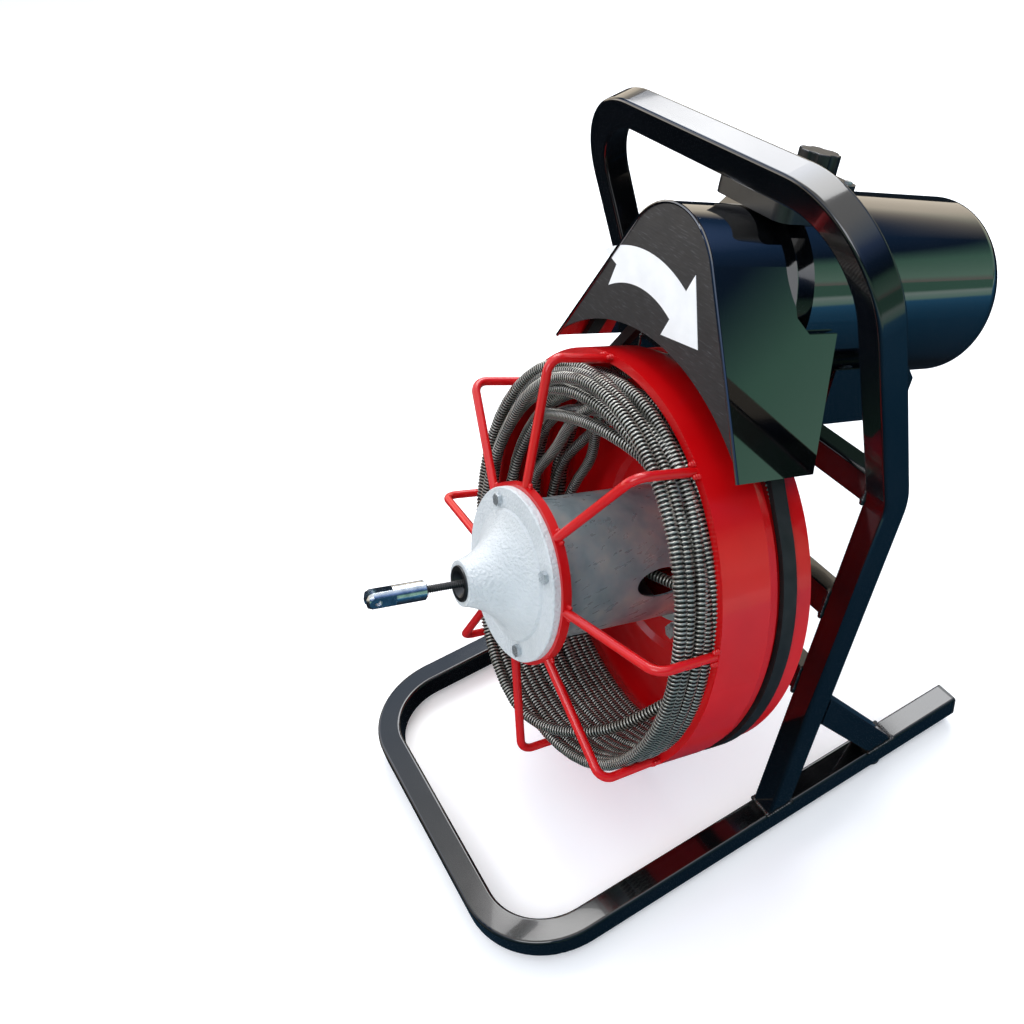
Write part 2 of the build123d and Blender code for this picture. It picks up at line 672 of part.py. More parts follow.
with BuildPart() as motor_shell:
    ring_solid(MOTOR_RADIUS, SHELL_INNER, MOTOR_FRONT, MOTOR_COVER, MOTOR_CENTRE)
save(motor_shell.part, "motor_shell")

# Front bell: carries the front bearing and the guard.
FRONT_BEARING_REAR = -110.0
BELL_FLANGE = 3.0
GUARD_SCREW_CIRCLE = 44.0
GUARD_SCREW = 2.5
guard_screws = [
    (GUARD_SCREW_CIRCLE * cos(radians(a)), MOTOR_HEIGHT + GUARD_SCREW_CIRCLE * sin(radians(a)))
    for a in (20, 70, 110, 160)
]
with BuildPart() as motor_front_bell:
    ring_solid(BELL_RADIUS, 0, BELL_FRONT, MOTOR_FRONT, MOTOR_CENTRE)
    ring_solid(MOTOR_RADIUS, 0, MOTOR_FRONT + BELL_FLANGE, MOTOR_FRONT, MOTOR_CENTRE)
    ring_solid(SPIGOT_RADIUS, SPIGOT_RADIUS - 3, MOTOR_FRONT, MOTOR_FRONT - SPIGOT, MOTOR_CENTRE)
    ring_solid(MOTOR_BEARING + 4, 0, MOTOR_FRONT, FRONT_BEARING_REAR, MOTOR_CENTRE)
    with BuildSketch(MACHINE.offset(FRONT_BEARING_REAR)):
        with Locations(MOTOR_CENTRE):
            Circle(MOTOR_BEARING)
    extrude(amount=MOTOR_BEARING_WIDTH, mode=Mode.SUBTRACT)
    with BuildSketch(MACHINE.offset(FRONT_BEARING_REAR)):
        with Locations(MOTOR_CENTRE):
            Circle(MOTOR_SHAFT_RADIUS + 2)
        with Locations(*guard_screws):
            Circle(GUARD_SCREW)
    extrude(amount=BELL_FRONT - FRONT_BEARING_REAR, mode=Mode.SUBTRACT)
save(motor_front_bell.part, "motor_front_bell")

# Rear cover: a rounded cap with cooling slots in its flat end and a seat for the rear bearing.
COVER_WALL = 3.0
SEAT_FRONT = -304.0
SEAT_REAR = SEAT_FRONT - MOTOR_BEARING_WIDTH
VENT_COUNT = 10
with BuildPart() as motor_rear_cover:
    with BuildSketch(MOTOR_SECTION):
        with BuildLine():
            Polyline(
                (SPIGOT_RADIUS - COVER_WALL, MOTOR_COVER + SPIGOT),
                (SPIGOT_RADIUS, MOTOR_COVER + SPIGOT),
                (SPIGOT_RADIUS, MOTOR_COVER),
                (MOTOR_RADIUS, MOTOR_COVER),
                (MOTOR_RADIUS, MOTOR_REAR + COVER_ROUND),
            )
            RadiusArc(
                (MOTOR_RADIUS, MOTOR_REAR + COVER_ROUND),
                (MOTOR_RADIUS - COVER_ROUND, MOTOR_REAR),
                COVER_ROUND,
            )
            Polyline(
                (MOTOR_RADIUS - COVER_ROUND, MOTOR_REAR),
                (0, MOTOR_REAR),
                (0, MOTOR_REAR + COVER_WALL),
                (MOTOR_SHAFT_RADIUS + 2, MOTOR_REAR + COVER_WALL),
                (MOTOR_SHAFT_RADIUS + 2, SEAT_REAR),
                (MOTOR_BEARING, SEAT_REAR),
                (MOTOR_BEARING, SEAT_FRONT),
                (MOTOR_BEARING + 4, SEAT_FRONT),
                (MOTOR_BEARING + 4, MOTOR_REAR + COVER_WALL),
                (MOTOR_RADIUS - COVER_ROUND, MOTOR_REAR + COVER_WALL),
                (SPIGOT_RADIUS - COVER_WALL, MOTOR_REAR + COVER_ROUND),
                (SPIGOT_RADIUS - COVER_WALL, MOTOR_COVER + SPIGOT),
            )
        make_face()
    revolve(axis=MOTOR_AXIS)
    with BuildSketch(MACHINE.offset(MOTOR_REAR - 1)):
        with Locations(MOTOR_CENTRE):
            with PolarLocations(42, VENT_COUNT):
                SlotOverall(26, 5)
    extrude(amount=COVER_WALL + 2, mode=Mode.SUBTRACT)
save(motor_rear_cover.part, "motor_rear_cover")

with BuildPart() as motor_bearings:
    for bearing_rear in (FRONT_BEARING_REAR, SEAT_REAR):
        ring_solid(MOTOR_BEARING, SHAFT_FIT, bearing_rear + MOTOR_BEARING_WIDTH, bearing_rear, MOTOR_CENTRE)
save(motor_bearings.part, "motor_bearings")

# Stator, its end windings, and the rotor inside.
CORE_FRONT_STATION = -140.0
CORE_REAR_STATION = -230.0
STATOR_INNER = 46.0
ROTOR_RADIUS = 45.4
WINDING = 16.0
WINDING_OUTER = 68.0
WINDING_INNER = 50.0
with BuildPart() as stator_core:
    ring_solid(SHELL_INNER, STATOR_INNER, CORE_FRONT_STATION, CORE_REAR_STATION, MOTOR_CENTRE)
save(stator_core.part, "stator_core")

with BuildPart() as stator_windings:
    for winding_rear in (CORE_FRONT_STATION, CORE_REAR_STATION - WINDING):
        ring_solid(WINDING_OUTER, WINDING_INNER, winding_rear + WINDING, winding_rear, MOTOR_CENTRE)
save(stator_windings.part, "stator_windings")

with BuildPart() as rotor:
    ring_solid(ROTOR_RADIUS, MOTOR_SHAFT_RADIUS, CORE_FRONT_STATION, CORE_REAR_STATION, MOTOR_CENTRE)
save(rotor.part, "rotor")

MOTOR_SHAFT_FRONT = -56.0
MOTOR_SHAFT_REAR = -318.0
with BuildPart() as motor_shaft:
    ring_solid(MOTOR_SHAFT_RADIUS, 0, MOTOR_SHAFT_FRONT, MOTOR_SHAFT_REAR, MOTOR_CENTRE)
save(motor_shaft.part, "motor_shaft")

# Cooling fan: a hub with straight radial blades.
FAN_FRONT = -276.0
FAN_REAR = -292.0
FAN_HUB = 15.0
FAN_RADIUS = 62.0
FAN_BLADES = 8
with BuildPart() as cooling_fan:
    ring_solid(FAN_HUB, 0, FAN_FRONT, FAN_REAR, MOTOR_CENTRE)
    ring_solid(FAN_RADIUS, 0, FAN_REAR + 2, FAN_REAR, MOTOR_CENTRE)
    with BuildSketch(MACHINE.offset(FAN_REAR)):
        with Locations(MOTOR_CENTRE):
            with PolarLocations((FAN_HUB + FAN_RADIUS) / 2 - 1, FAN_BLADES):
                Rectangle(FAN_RADIUS - FAN_HUB, 2.5)
    extrude(amount=FAN_FRONT - FAN_REAR)
    with BuildSketch(MACHINE.offset(FAN_REAR)):
        with Locations(MOTOR_CENTRE):
            Circle(MOTOR_SHAFT_RADIUS)
    extrude(amount=FAN_FRONT - FAN_REAR, mode=Mode.SUBTRACT)
save(cooling_fan.part, "cooling_fan")

# Pulley with one V groove, on the shaft's front end.
PULLEY_RADIUS = 35.0
PULLEY_HALF = 11.0
GROOVE_BOTTOM = 24.5
with BuildPart() as motor_pulley:
    with BuildSketch(MOTOR_SECTION):
        with BuildLine():
            Polyline(
                (MOTOR_SHAFT_RADIUS, BELT_STATION - PULLEY_HALF),
                (PULLEY_RADIUS, BELT_STATION - PULLEY_HALF),
                (PULLEY_RADIUS, BELT_STATION - BELT_OUTER - 1),
                (GROOVE_BOTTOM, BELT_STATION - BELT_INNER - 1),
                (GROOVE_BOTTOM, BELT_STATION + BELT_INNER + 1),
                (PULLEY_RADIUS, BELT_STATION + BELT_OUTER + 1),
                (PULLEY_RADIUS, BELT_STATION + PULLEY_HALF),
                (MOTOR_SHAFT_RADIUS, BELT_STATION + PULLEY_HALF),
                close=True,
            )
        make_face()
    revolve(axis=MOTOR_AXIS)
save(motor_pulley.part, "motor_pulley")

# ================================================================ belt
# The belt's inside runs on two arcs and the straight stretches that touch both.
belt_lean = acos((BELT_ON_DRUM - BELT_ON_PULLEY) / MOTOR_HEIGHT)
belt_angle = 90 - degrees(belt_lean)
belt_cos = cos(radians(belt_angle))
belt_sin = sin(radians(belt_angle))
BELT_PLANE = MACHINE.offset(BELT_STATION)
with BuildPart() as drive_belt:
    with BuildLine(BELT_PLANE) as belt_path:
        CenterArc((0, 0), BELT_ON_DRUM, belt_angle, -180 - 2 * belt_angle)
        Line(
            (-BELT_ON_DRUM * belt_cos, BELT_ON_DRUM * belt_sin),
            (-BELT_ON_PULLEY * belt_cos, MOTOR_HEIGHT + BELT_ON_PULLEY * belt_sin),
        )
        CenterArc(MOTOR_CENTRE, BELT_ON_PULLEY, 180 - belt_angle, 2 * belt_angle - 180)
        Line(
            (BELT_ON_PULLEY * belt_cos, MOTOR_HEIGHT + BELT_ON_PULLEY * belt_sin),
            (BELT_ON_DRUM * belt_cos, BELT_ON_DRUM * belt_sin),
        )
    with BuildSketch(radial_half_plane(-90)):
        with BuildLine():
            Polyline(
                (BELT_ON_DRUM, BELT_STATION - BELT_INNER),
                (BELT_ON_DRUM + BELT_HEIGHT, BELT_STATION - BELT_OUTER),
                (BELT_ON_DRUM + BELT_HEIGHT, BELT_STATION + BELT_OUTER),
                (BELT_ON_DRUM, BELT_STATION + BELT_INNER),
                close=True,
            )
        make_face()
    sweep(path=belt_path.wire())
save(drive_belt.part, "drive_belt")

# ================================================================ guard
# The guard's outline is an arch over the motor pulley with a straight flank on each side.
corner_reach = ((MOTOR_HEIGHT - GUARD_CORNER_H) ** 2 + GUARD_CORNER_X**2) ** 0.5
flank_slope = atan2(MOTOR_HEIGHT - GUARD_CORNER_H, -GUARD_CORNER_X) - asin(GUARD_RADIUS / corner_reach)
flank_angle = degrees(flank_slope) - 90


def guard_outline(inset=0.0, bottom=GUARD_CORNER_H, mode=Mode.ADD):
    """Face inside the guard's outline, drawn inwards by inset and cut off at the bottom height."""
    radius = GUARD_RADIUS - inset
    shoulder_x = radius * cos(radians(flank_angle))
    shoulder_h = MOTOR_HEIGHT + radius * sin(radians(flank_angle))
    bottom_x = shoulder_x + (bottom - shoulder_h) / sin(flank_slope) * cos(flank_slope)
    with BuildLine() as outline:
        CenterArc(MOTOR_CENTRE, radius, flank_angle, 180 - 2 * flank_angle)
        Polyline((-shoulder_x, shoulder_h), (-bottom_x, bottom), (bottom_x, bottom), (shoulder_x, shoulder_h))
    make_face(outline.edges(), mode=mode)


# Wrap: the curved skin. Its flanks reach back past the arch as tabs, notched round the motor.
NOTCH_H = 251.0
NOTCH_RISE = 2.0  # the notch ends this far above the motor axis
NOTCH_REAR = GUARD_REAR - 11
TAB_REAR = -133.0
FLANK_REAR = -90.0
with BuildPart() as guard_wrap:
    with BuildSketch(MACHINE.offset(TAB_REAR)):
        guard_outline()
        guard_outline(inset=GUARD_WALL, bottom=GUARD_CORNER_H - 10, mode=Mode.SUBTRACT)
    extrude(amount=GUARD_FRONT - TAB_REAR)
    with BuildSketch(across(-WIDTH / 2, 0, 0)):
        with BuildLine():
            Polyline(
                (GUARD_CORNER_H - 1, GUARD_FRONT + 1),
                (MOTOR_HEIGHT + GUARD_RADIUS + 1, GUARD_FRONT + 1),
                (MOTOR_HEIGHT + GUARD_RADIUS + 1, GUARD_REAR),
                (MOTOR_HEIGHT + NOTCH_RISE, GUARD_REAR),
                (NOTCH_H, NOTCH_REAR),
                (NOTCH_H, TAB_REAR),
                (GUARD_CORNER_H - 1, FLANK_REAR),
                close=True,
            )
        make_face()
    extrude(amount=WIDTH, mode=Mode.INTERSECT)
save(guard_wrap.part, "guard_wrap")

# Front plate, inside the wrap's front edge, with its lower edge concentric with the drum.
with BuildPart() as guard_front_plate:
    with BuildSketch(MACHINE.offset(GUARD_FRONT - SHEET)):
        guard_outline(inset=GUARD_WALL)
        Circle(GUARD_ARC, mode=Mode.SUBTRACT)
    extrude(amount=SHEET)
save(guard_front_plate.part, "guard_front_plate")

# Back plate, which the motor's front bell holds with four screws.
BACK_PLATE_BOTTOM = 225.0
BACK_PLATE_BORE = 27.0
with BuildPart() as guard_back_plate:
    with BuildSketch(MACHINE.offset(BELL_FRONT)):
        guard_outline(inset=GUARD_WALL, bottom=BACK_PLATE_BOTTOM)
        with Locations(MOTOR_CENTRE):
            Circle(BACK_PLATE_BORE, mode=Mode.SUBTRACT)
        with Locations(*guard_screws):
            Circle(GUARD_SCREW + BOLT_CLEARANCE, mode=Mode.SUBTRACT)
    extrude(amount=SHEET)
save(guard_back_plate.part, "guard_back_plate")

SCREW_SEAT = BELL_FRONT + SHEET
with BuildPart() as guard_screw_set:
    discs(2 * GUARD_SCREW, SCREW_SEAT + 3, SCREW_SEAT, guard_screws)
    discs(GUARD_SCREW, SCREW_SEAT, MOTOR_FRONT + 1, guard_screws)
save(guard_screw_set.part, "guard_screw_set")

# Blank direction arrow stuck on the front plate: a curved band with a notched tail and a wide head.
ARROW_CENTRE = (-22.0, 150.0)
ARROW_OUTER = 128.0
ARROW_INNER = 98.0
ARROW_TAIL = 122.0
ARROW_NECK = 66.0
ARROW_WING = 17.0
ARROW_TIP = 45.0
ARROW_NOTCH = 8.0
ARROW_THICKNESS = 0.3
arrow_middle = (ARROW_OUTER + ARROW_INNER) / 2


def arrow_point(radius, angle):
    """Point of the arrow from its own centre."""
    return (ARROW_CENTRE[0] + radius * cos(radians(angle)), ARROW_CENTRE[1] + radius * sin(radians(angle)))


with BuildPart() as direction_sticker:
    with BuildSketch(MACHINE.offset(GUARD_FRONT)):
        with BuildLine():
            CenterArc(ARROW_CENTRE, ARROW_OUTER, ARROW_NECK, ARROW_TAIL - ARROW_NECK)
            CenterArc(ARROW_CENTRE, ARROW_INNER, ARROW_NECK, ARROW_TAIL - ARROW_NECK)
            Polyline(
                arrow_point(ARROW_OUTER, ARROW_TAIL),
                arrow_point(arrow_middle, ARROW_TAIL - ARROW_NOTCH),
                arrow_point(ARROW_INNER, ARROW_TAIL),
            )
            Polyline(
                arrow_point(ARROW_OUTER, ARROW_NECK),
                arrow_point(ARROW_OUTER + ARROW_WING, ARROW_NECK),
                arrow_point(arrow_middle + 3, ARROW_TIP),
                arrow_point(ARROW_INNER - ARROW_WING, ARROW_NECK),
                arrow_point(ARROW_INNER, ARROW_NECK),
            )
        make_face()
    extrude(amount=ARROW_THICKNESS)
save(direction_sticker.part, "direction_sticker")

# ================================================================ motor mounting
# Cradle: a folded channel on the motor bar, under the motor.
CRADLE_PLATE = 3.0
CRADLE_BASE = MOTOR_BAR_HEIGHT + TUBE / 2
CRADLE_TOP = CRADLE_BASE + CRADLE_PLATE
CRADLE_HALF_WIDTH = 82.0
CRADLE_SIDE_TOP = 218.0
CRADLE_FRONT = -129.0
CRADLE_SIDE_FRONT = -146.0
CRADLE_REAR = -245.0
FOOT_BOLT_X = 50.0
FOOT_BOLT = 4.0
FOOT_STATIONS = (-185.0, -215.0)
SLOT_PLAY = 12.0  # lets the motor slide to tighten the belt
foot_bolts = [(x, s) for x in (-FOOT_BOLT_X, FOOT_BOLT_X) for s in FOOT_STATIONS]


def level_plane(height):
    """Plane square to the tilted uprights: local x across and local y along the drum axis."""
    return Plane(origin=place(0, height, 0), x_dir=(1, 0, 0), z_dir=-MACHINE.y_dir)


with BuildPart() as motor_cradle:
    with BuildSketch(level_plane(CRADLE_TOP)):
        with Locations((0, (CRADLE_FRONT + CRADLE_REAR) / 2)):
            Rectangle(2 * CRADLE_HALF_WIDTH, CRADLE_FRONT - CRADLE_REAR)
        with Locations(*foot_bolts):
            SlotCenterToCenter(SLOT_PLAY, 2 * FOOT_BOLT + 1, rotation=90, mode=Mode.SUBTRACT)
    extrude(amount=CRADLE_PLATE)
    for side_x in (-CRADLE_HALF_WIDTH, CRADLE_HALF_WIDTH - CRADLE_PLATE):
        with BuildSketch(across(side_x, 0, 0)):
            with BuildLine():
                Polyline(
                    (CRADLE_BASE, CRADLE_SIDE_FRONT),
                    (CRADLE_SIDE_TOP, CRADLE_SIDE_FRONT),
                    (CRADLE_SIDE_TOP, CRADLE_REAR + 12),
                    (CRADLE_SIDE_TOP - 12, CRADLE_REAR),
                    (CRADLE_BASE, CRADLE_REAR),
                    close=True,
                )
            make_face()
        extrude(amount=CRADLE_PLATE)
save(motor_cradle.part, "motor_cradle")

# Foot: a flat base with two saddle walls that are welded to the motor's shell.
FOOT_HALF_WIDTH = 62.0
SADDLE_HALF_WIDTH = 36.0
SADDLE = 4.0
FOOT_FRONT = -165.0
FOOT_REAR = -235.0
with BuildPart() as motor_foot:
    with BuildSketch(level_plane(CRADLE_TOP + CRADLE_PLATE)):
        with Locations((0, (FOOT_FRONT + FOOT_REAR) / 2)):
            Rectangle(2 * FOOT_HALF_WIDTH, FOOT_FRONT - FOOT_REAR)
        with Locations(*foot_bolts):
            Circle(FOOT_BOLT + BOLT_CLEARANCE, mode=Mode.SUBTRACT)
    extrude(amount=CRADLE_PLATE)
    for saddle_rear in (FOOT_FRONT - SADDLE, FOOT_REAR):
        with BuildSketch(MACHINE.offset(saddle_rear)):
            with Locations((0, CRADLE_TOP + CRADLE_PLATE + MOTOR_RADIUS / 2)):
                Rectangle(2 * SADDLE_HALF_WIDTH, MOTOR_RADIUS)
            with Locations(MOTOR_CENTRE):
                Circle(MOTOR_RADIUS, mode=Mode.SUBTRACT)
                Rectangle(2 * MOTOR_RADIUS, MOTOR_RADIUS, mode=Mode.SUBTRACT)
        extrude(amount=SADDLE)
save(motor_foot.part, "motor_foot")

# Bolts that clamp the foot to the cradle, heads up.
HEAD_BASE = CRADLE_TOP + CRADLE_PLATE
with BuildPart() as foot_bolt_set:
    with BuildSketch(level_plane(HEAD_BASE + M8_HEAD)):
        with Locations(*foot_bolts):
            RegularPolygon(M8_HEX / 2, 6, major_radius=False)
    extrude(amount=M8_HEAD)
    with BuildSketch(level_plane(HEAD_BASE)):
        with Locations(*foot_bolts):
            Circle(FOOT_BOLT)
    extrude(amount=2 * CRADLE_PLATE + M8_TAIL)
    with BuildSketch(level_plane(CRADLE_BASE)):
        with Locations(*foot_bolts):
            RegularPolygon(M8_HEX / 2, 6, major_radius=False)
    extrude(amount=M8_NUT)
save(foot_bolt_set.part, "foot_bolt_set")

# ================================================================ switch
BOX_HALF_WIDTH = 45.0
BOX_FRONT = -76.0
BOX_REAR = -150.0
BOX_BOTTOM = 325.0
BOX_TOP = 353.0
BOX_FLOOR = 14.0
BOX_WALL = 2.5
LID = 3.0
BOX_MIDDLE = (BOX_FRONT + BOX_REAR) / 2
BOX_CORNER = 12.0
KNOB_X = 8.0
KNOB_STATION = -132.0
SPINDLE_RADIUS = 3.0
LID_TOP = BOX_TOP + LID
LID_SCREW_X = 37.0
LID_SCREW_S = 29.0
LID_SCREW = 1.7
LID_SCREW_HEAD = 3.2
lid_screws = [(x, BOX_MIDDLE + s) for x in (-LID_SCREW_X, LID_SCREW_X) for s in (-LID_SCREW_S, LID_SCREW_S)]
GLAND_X = -24.0
GLAND_H = 345.5
GLAND_THREAD = 6.0
GLAND_BORE = 4.0
GLAND_HEX = 17.0
GLAND_HEX_DEPTH = 6.0
GLAND_CAP_RADIUS = 7.0
GLAND_DEPTH = 16.0
gland_at = [(GLAND_X, GLAND_H)]

# Box on top of the motor, scooped below to sit on the round shell and clear of the front bell.
with BuildPart() as switch_box:
    with BuildSketch(level_plane(BOX_TOP)):
        with Locations((0, BOX_MIDDLE)):
            RectangleRounded(2 * BOX_HALF_WIDTH, BOX_FRONT - BOX_REAR, BOX_CORNER)
    extrude(amount=BOX_TOP - BOX_BOTTOM)
    with BuildSketch(level_plane(BOX_TOP)):
        with Locations((0, BOX_MIDDLE)):
            RectangleRounded(
                2 * (BOX_HALF_WIDTH - BOX_WALL), BOX_FRONT - BOX_REAR - 2 * BOX_WALL, BOX_CORNER - BOX_WALL
            )
    extrude(amount=BOX_TOP - BOX_BOTTOM - BOX_FLOOR, mode=Mode.SUBTRACT)
    with BuildSketch(MACHINE.offset(BOX_REAR - 1)):
        with Locations(MOTOR_CENTRE):
            Circle(MOTOR_RADIUS)
        with Locations(*gland_at):
            Circle(GLAND_THREAD)
    extrude(amount=BOX_WALL + 1, mode=Mode.SUBTRACT)
    with BuildSketch(MACHINE.offset(BOX_REAR - 1)):
        with Locations(MOTOR_CENTRE):
            Circle(MOTOR_RADIUS)
    extrude(amount=BELL_FRONT - BOX_REAR + 1, mode=Mode.SUBTRACT)
save(switch_box.part, "switch_box")

with BuildPart() as switch_lid:
    with BuildSketch(level_plane(LID_TOP)):
        with Locations((0, BOX_MIDDLE)):
            RectangleRounded(2 * BOX_HALF_WIDTH, BOX_FRONT - BOX_REAR, BOX_CORNER)
        with Locations((KNOB_X, KNOB_STATION)):
            Circle(SPINDLE_RADIUS + 1, mode=Mode.SUBTRACT)
        with Locations(*lid_screws):
            Circle(LID_SCREW + 0.1, mode=Mode.SUBTRACT)
    extrude(amount=LID)
save(switch_lid.part, "switch_lid")

with BuildPart() as lid_screw_set:
    with BuildSketch(level_plane(LID_TOP + 2)):
        with Locations(*lid_screws):
            Circle(LID_SCREW_HEAD)
    extrude(amount=2)
    with BuildSketch(level_plane(LID_TOP)):
        with Locations(*lid_screws):
            Circle(LID_SCREW)
    extrude(amount=LID + 6)
save(lid_screw_set.part, "lid_screw_set")

# Contact block that hangs below the lid, and the cord's gland in the rear wall.
BLOCK_WIDTH = 28.0
BLOCK_DEPTH = 12.0
with BuildPart() as switch_block:
    with BuildSketch(level_plane(BOX_TOP)):
        with Locations((KNOB_X, KNOB_STATION)):
            RectangleRounded(BLOCK_WIDTH, BLOCK_WIDTH, 3)
            Circle(SPINDLE_RADIUS + 0.4, mode=Mode.SUBTRACT)
    extrude(amount=BLOCK_DEPTH)
save(switch_block.part, "switch_block")

with BuildPart() as cord_gland:
    discs(GLAND_THREAD, BOX_REAR + BOX_WALL, BOX_REAR, gland_at)
    hexagon(GLAND_HEX, BOX_REAR, BOX_REAR - GLAND_HEX_DEPTH, gland_at)
    discs(GLAND_CAP_RADIUS, BOX_REAR - GLAND_HEX_DEPTH, BOX_REAR - GLAND_DEPTH, gland_at)
    with BuildSketch(MACHINE.offset(BOX_REAR - GLAND_DEPTH)):
        with Locations(*gland_at):
            Circle(GLAND_BORE)
    extrude(amount=BOX_WALL + GLAND_DEPTH, mode=Mode.SUBTRACT)
save(cord_gland.part, "cord_gland")

# Lobed knob and its spindle.
KNOB_RADIUS = 17.0
KNOB_HEIGHT = 16.0
KNOB_GAP = 0.6
LOBES = 6
LOBE_CUT_RADIUS = 6.0
SPINDLE_DEPTH = 12.0  # below the lid
with BuildPart() as switch_knob:
    with BuildSketch(level_plane(LID_TOP + KNOB_GAP + KNOB_HEIGHT)):
        with Locations((KNOB_X, KNOB_STATION)):
            Circle(KNOB_RADIUS)
            with PolarLocations(KNOB_RADIUS + 3.5, LOBES):
                Circle(LOBE_CUT_RADIUS, mode=Mode.SUBTRACT)
    extrude(amount=KNOB_HEIGHT)
    fillet(switch_knob.edges().filter_by(GeomType.CIRCLE), 1.2)
save(switch_knob.part, "switch_knob")

with BuildPart() as switch_spindle:
    with BuildSketch(level_plane(LID_TOP + KNOB_GAP)):
        with Locations((KNOB_X, KNOB_STATION)):
            Circle(SPINDLE_RADIUS)
    extrude(amount=KNOB_GAP + LID + SPINDLE_DEPTH)
save(switch_spindle.part, "switch_spindle")
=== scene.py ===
# %% [markdown]
# # A drum drain snake machine
# The imported model gives a machine whose shapes are right but plain. This file finishes it. Painted steel, zinc,
# cast and sprung steel get their own materials, and the coiled cable, welds and the guard's rolled edge get real
# shape.

# %% Load the frame
from math import asin, atan2, cos, pi, radians, sin

import bmesh
import bpy
from mathutils import Matrix, Quaternion, Vector


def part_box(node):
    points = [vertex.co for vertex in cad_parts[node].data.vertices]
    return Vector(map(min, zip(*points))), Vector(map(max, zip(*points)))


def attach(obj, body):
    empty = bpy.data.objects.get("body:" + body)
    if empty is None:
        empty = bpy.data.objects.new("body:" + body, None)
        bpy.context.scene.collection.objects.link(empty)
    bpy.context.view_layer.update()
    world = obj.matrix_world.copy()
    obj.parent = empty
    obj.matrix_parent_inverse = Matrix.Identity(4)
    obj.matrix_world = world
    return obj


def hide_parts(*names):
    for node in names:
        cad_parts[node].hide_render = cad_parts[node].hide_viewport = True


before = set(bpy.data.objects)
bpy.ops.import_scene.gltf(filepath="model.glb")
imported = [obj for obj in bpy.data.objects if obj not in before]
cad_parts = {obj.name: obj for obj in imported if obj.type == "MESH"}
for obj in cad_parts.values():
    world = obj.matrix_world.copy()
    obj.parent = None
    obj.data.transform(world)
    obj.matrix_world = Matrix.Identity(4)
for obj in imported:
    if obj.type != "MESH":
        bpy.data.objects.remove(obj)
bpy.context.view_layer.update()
MM = 0.001

# %% [markdown]
# The camera stands to the right of the nose and above it, a little rolled. A camera looks along its own -Z, so a
# track rotation aims it and a turn about Z rolls it. The shift frames the machine without turning the camera.

# %% Camera
camera = bpy.data.objects.new("camera", bpy.data.cameras.new("camera"))
bpy.context.scene.collection.objects.link(camera)
camera.location = (0.6237, -0.3678, 0.8872)
aim = Vector((0.2768, -0.2009, 0.539)) - camera.location
CAMERA_ROLL = -0.1443
camera.rotation_euler = (aim.to_track_quat("-Z", "Y") @ Quaternion((0, 0, 1), CAMERA_ROLL)).to_euler()
camera.data.sensor_width = 36
camera.data.lens = 35.55
camera.data.shift_x = -0.104
camera.data.shift_y = 0.033
bpy.context.scene.camera = camera
print("camera lens", camera.data.lens, "mm")

# %% [markdown]
# The drum, motor and nose share one tilted direction. It pays to build round things flat, with Z as the axis, and
# to lay them in place with one matrix at the end. `MACHINE` is that matrix: X across, Y up the tilted frame, and Z
# along the drum's axis towards the nose, with its zero at the drum's front rim.

# %% Shared place for everything on the tilted frame
TILT = radians(20)
MACHINE = Matrix((
    (1, 0, 0, 0),
    (0, sin(TILT), -cos(TILT), -0.0989),
    (0, cos(TILT), sin(TILT), 0.260),
    (0, 0, 0, 1),
))
MOTOR_HEIGHT = 260


def place(x, height, station):
    """Point in the row frame for millimetres across, up the tilted frame and along the drum's axis."""
    return MACHINE @ Vector((x * MM, height * MM, station * MM))


def polar(radius, angle, station, height=0):
    """Point at a radius and an angle in degrees about an axis along the drum's."""
    return place(radius * cos(radians(angle)), height + radius * sin(radians(angle)), station)


print("the drum's front rim is centred at", [round(c, 4) for c in place(0, 0, 0)])

# %% [markdown]
# Blender keeps colours linear, while people pick them as sRGB hex values, so one function translates. A second adds
# a node, sets what it is told and makes its links: a socket in the inputs becomes a link, and anything else a value.
#
# No real surface is even, so most materials here are made by `uneven`. It gives each one three patterns of soft lumps:
# one clouds the colour, one varies the roughness and one raises a fine relief.

# %% Helpers for materials
def srgb(hex_colour):
    """Linear RGBA of an sRGB hex colour."""
    parts = [int(hex_colour[i:i + 2], 16) / 255 for i in (1, 3, 5)]
    return tuple(c / 12.92 if c <= 0.04045 else ((c + 0.055) / 1.055) ** 2.4 for c in parts) + (1,)


def add(tree, kind, inputs=(), stops=(), **settings):
    """Adds a node with its settings, values and links, and (position, hex colour) stops if it is a colour ramp."""
    made = tree.nodes.new(kind)
    for key, value in settings.items():
        setattr(made, key, value)
    for socket, value in dict(inputs).items():
        if isinstance(value, bpy.types.NodeSocket):
            tree.links.new(value, made.inputs[socket])
        else:
            made.inputs[socket].default_value = value
    if stops:
        elements = made.color_ramp.elements
        while len(elements) < len(stops):
            elements.new(0.5)
        for element, (position, colour) in zip(elements, stops):
            element.position = position
            element.color = srgb(colour)
    return made


def lumps(tree, size_mm, detail=3.0, stretch=(1, 1, 1), turn=0.0):
    """Pattern of soft lumps about size_mm across, stretched along the object's axes."""
    where = add(tree, "ShaderNodeTexCoord").outputs["Object"]
    mapped = add(tree, "ShaderNodeMapping", {"Vector": where, "Scale": stretch, "Rotation": (turn, 0, 0)})
    inputs = {"Vector": mapped.outputs["Vector"], "Scale": 1 / (size_mm * MM), "Detail": detail}
    return add(tree, "ShaderNodeTexNoise", inputs).outputs["Fac"]


def material(name, **constants):
    """New material with a Principled shader, its constants set on the shader's own sockets."""
    made = bpy.data.materials.new(name)
    made.use_nodes = True
    shader = made.node_tree.nodes["Principled BSDF"]
    for socket, value in constants.items():
        shader.inputs[socket.replace("_", " ")].default_value = value
    return made, made.node_tree, shader.inputs


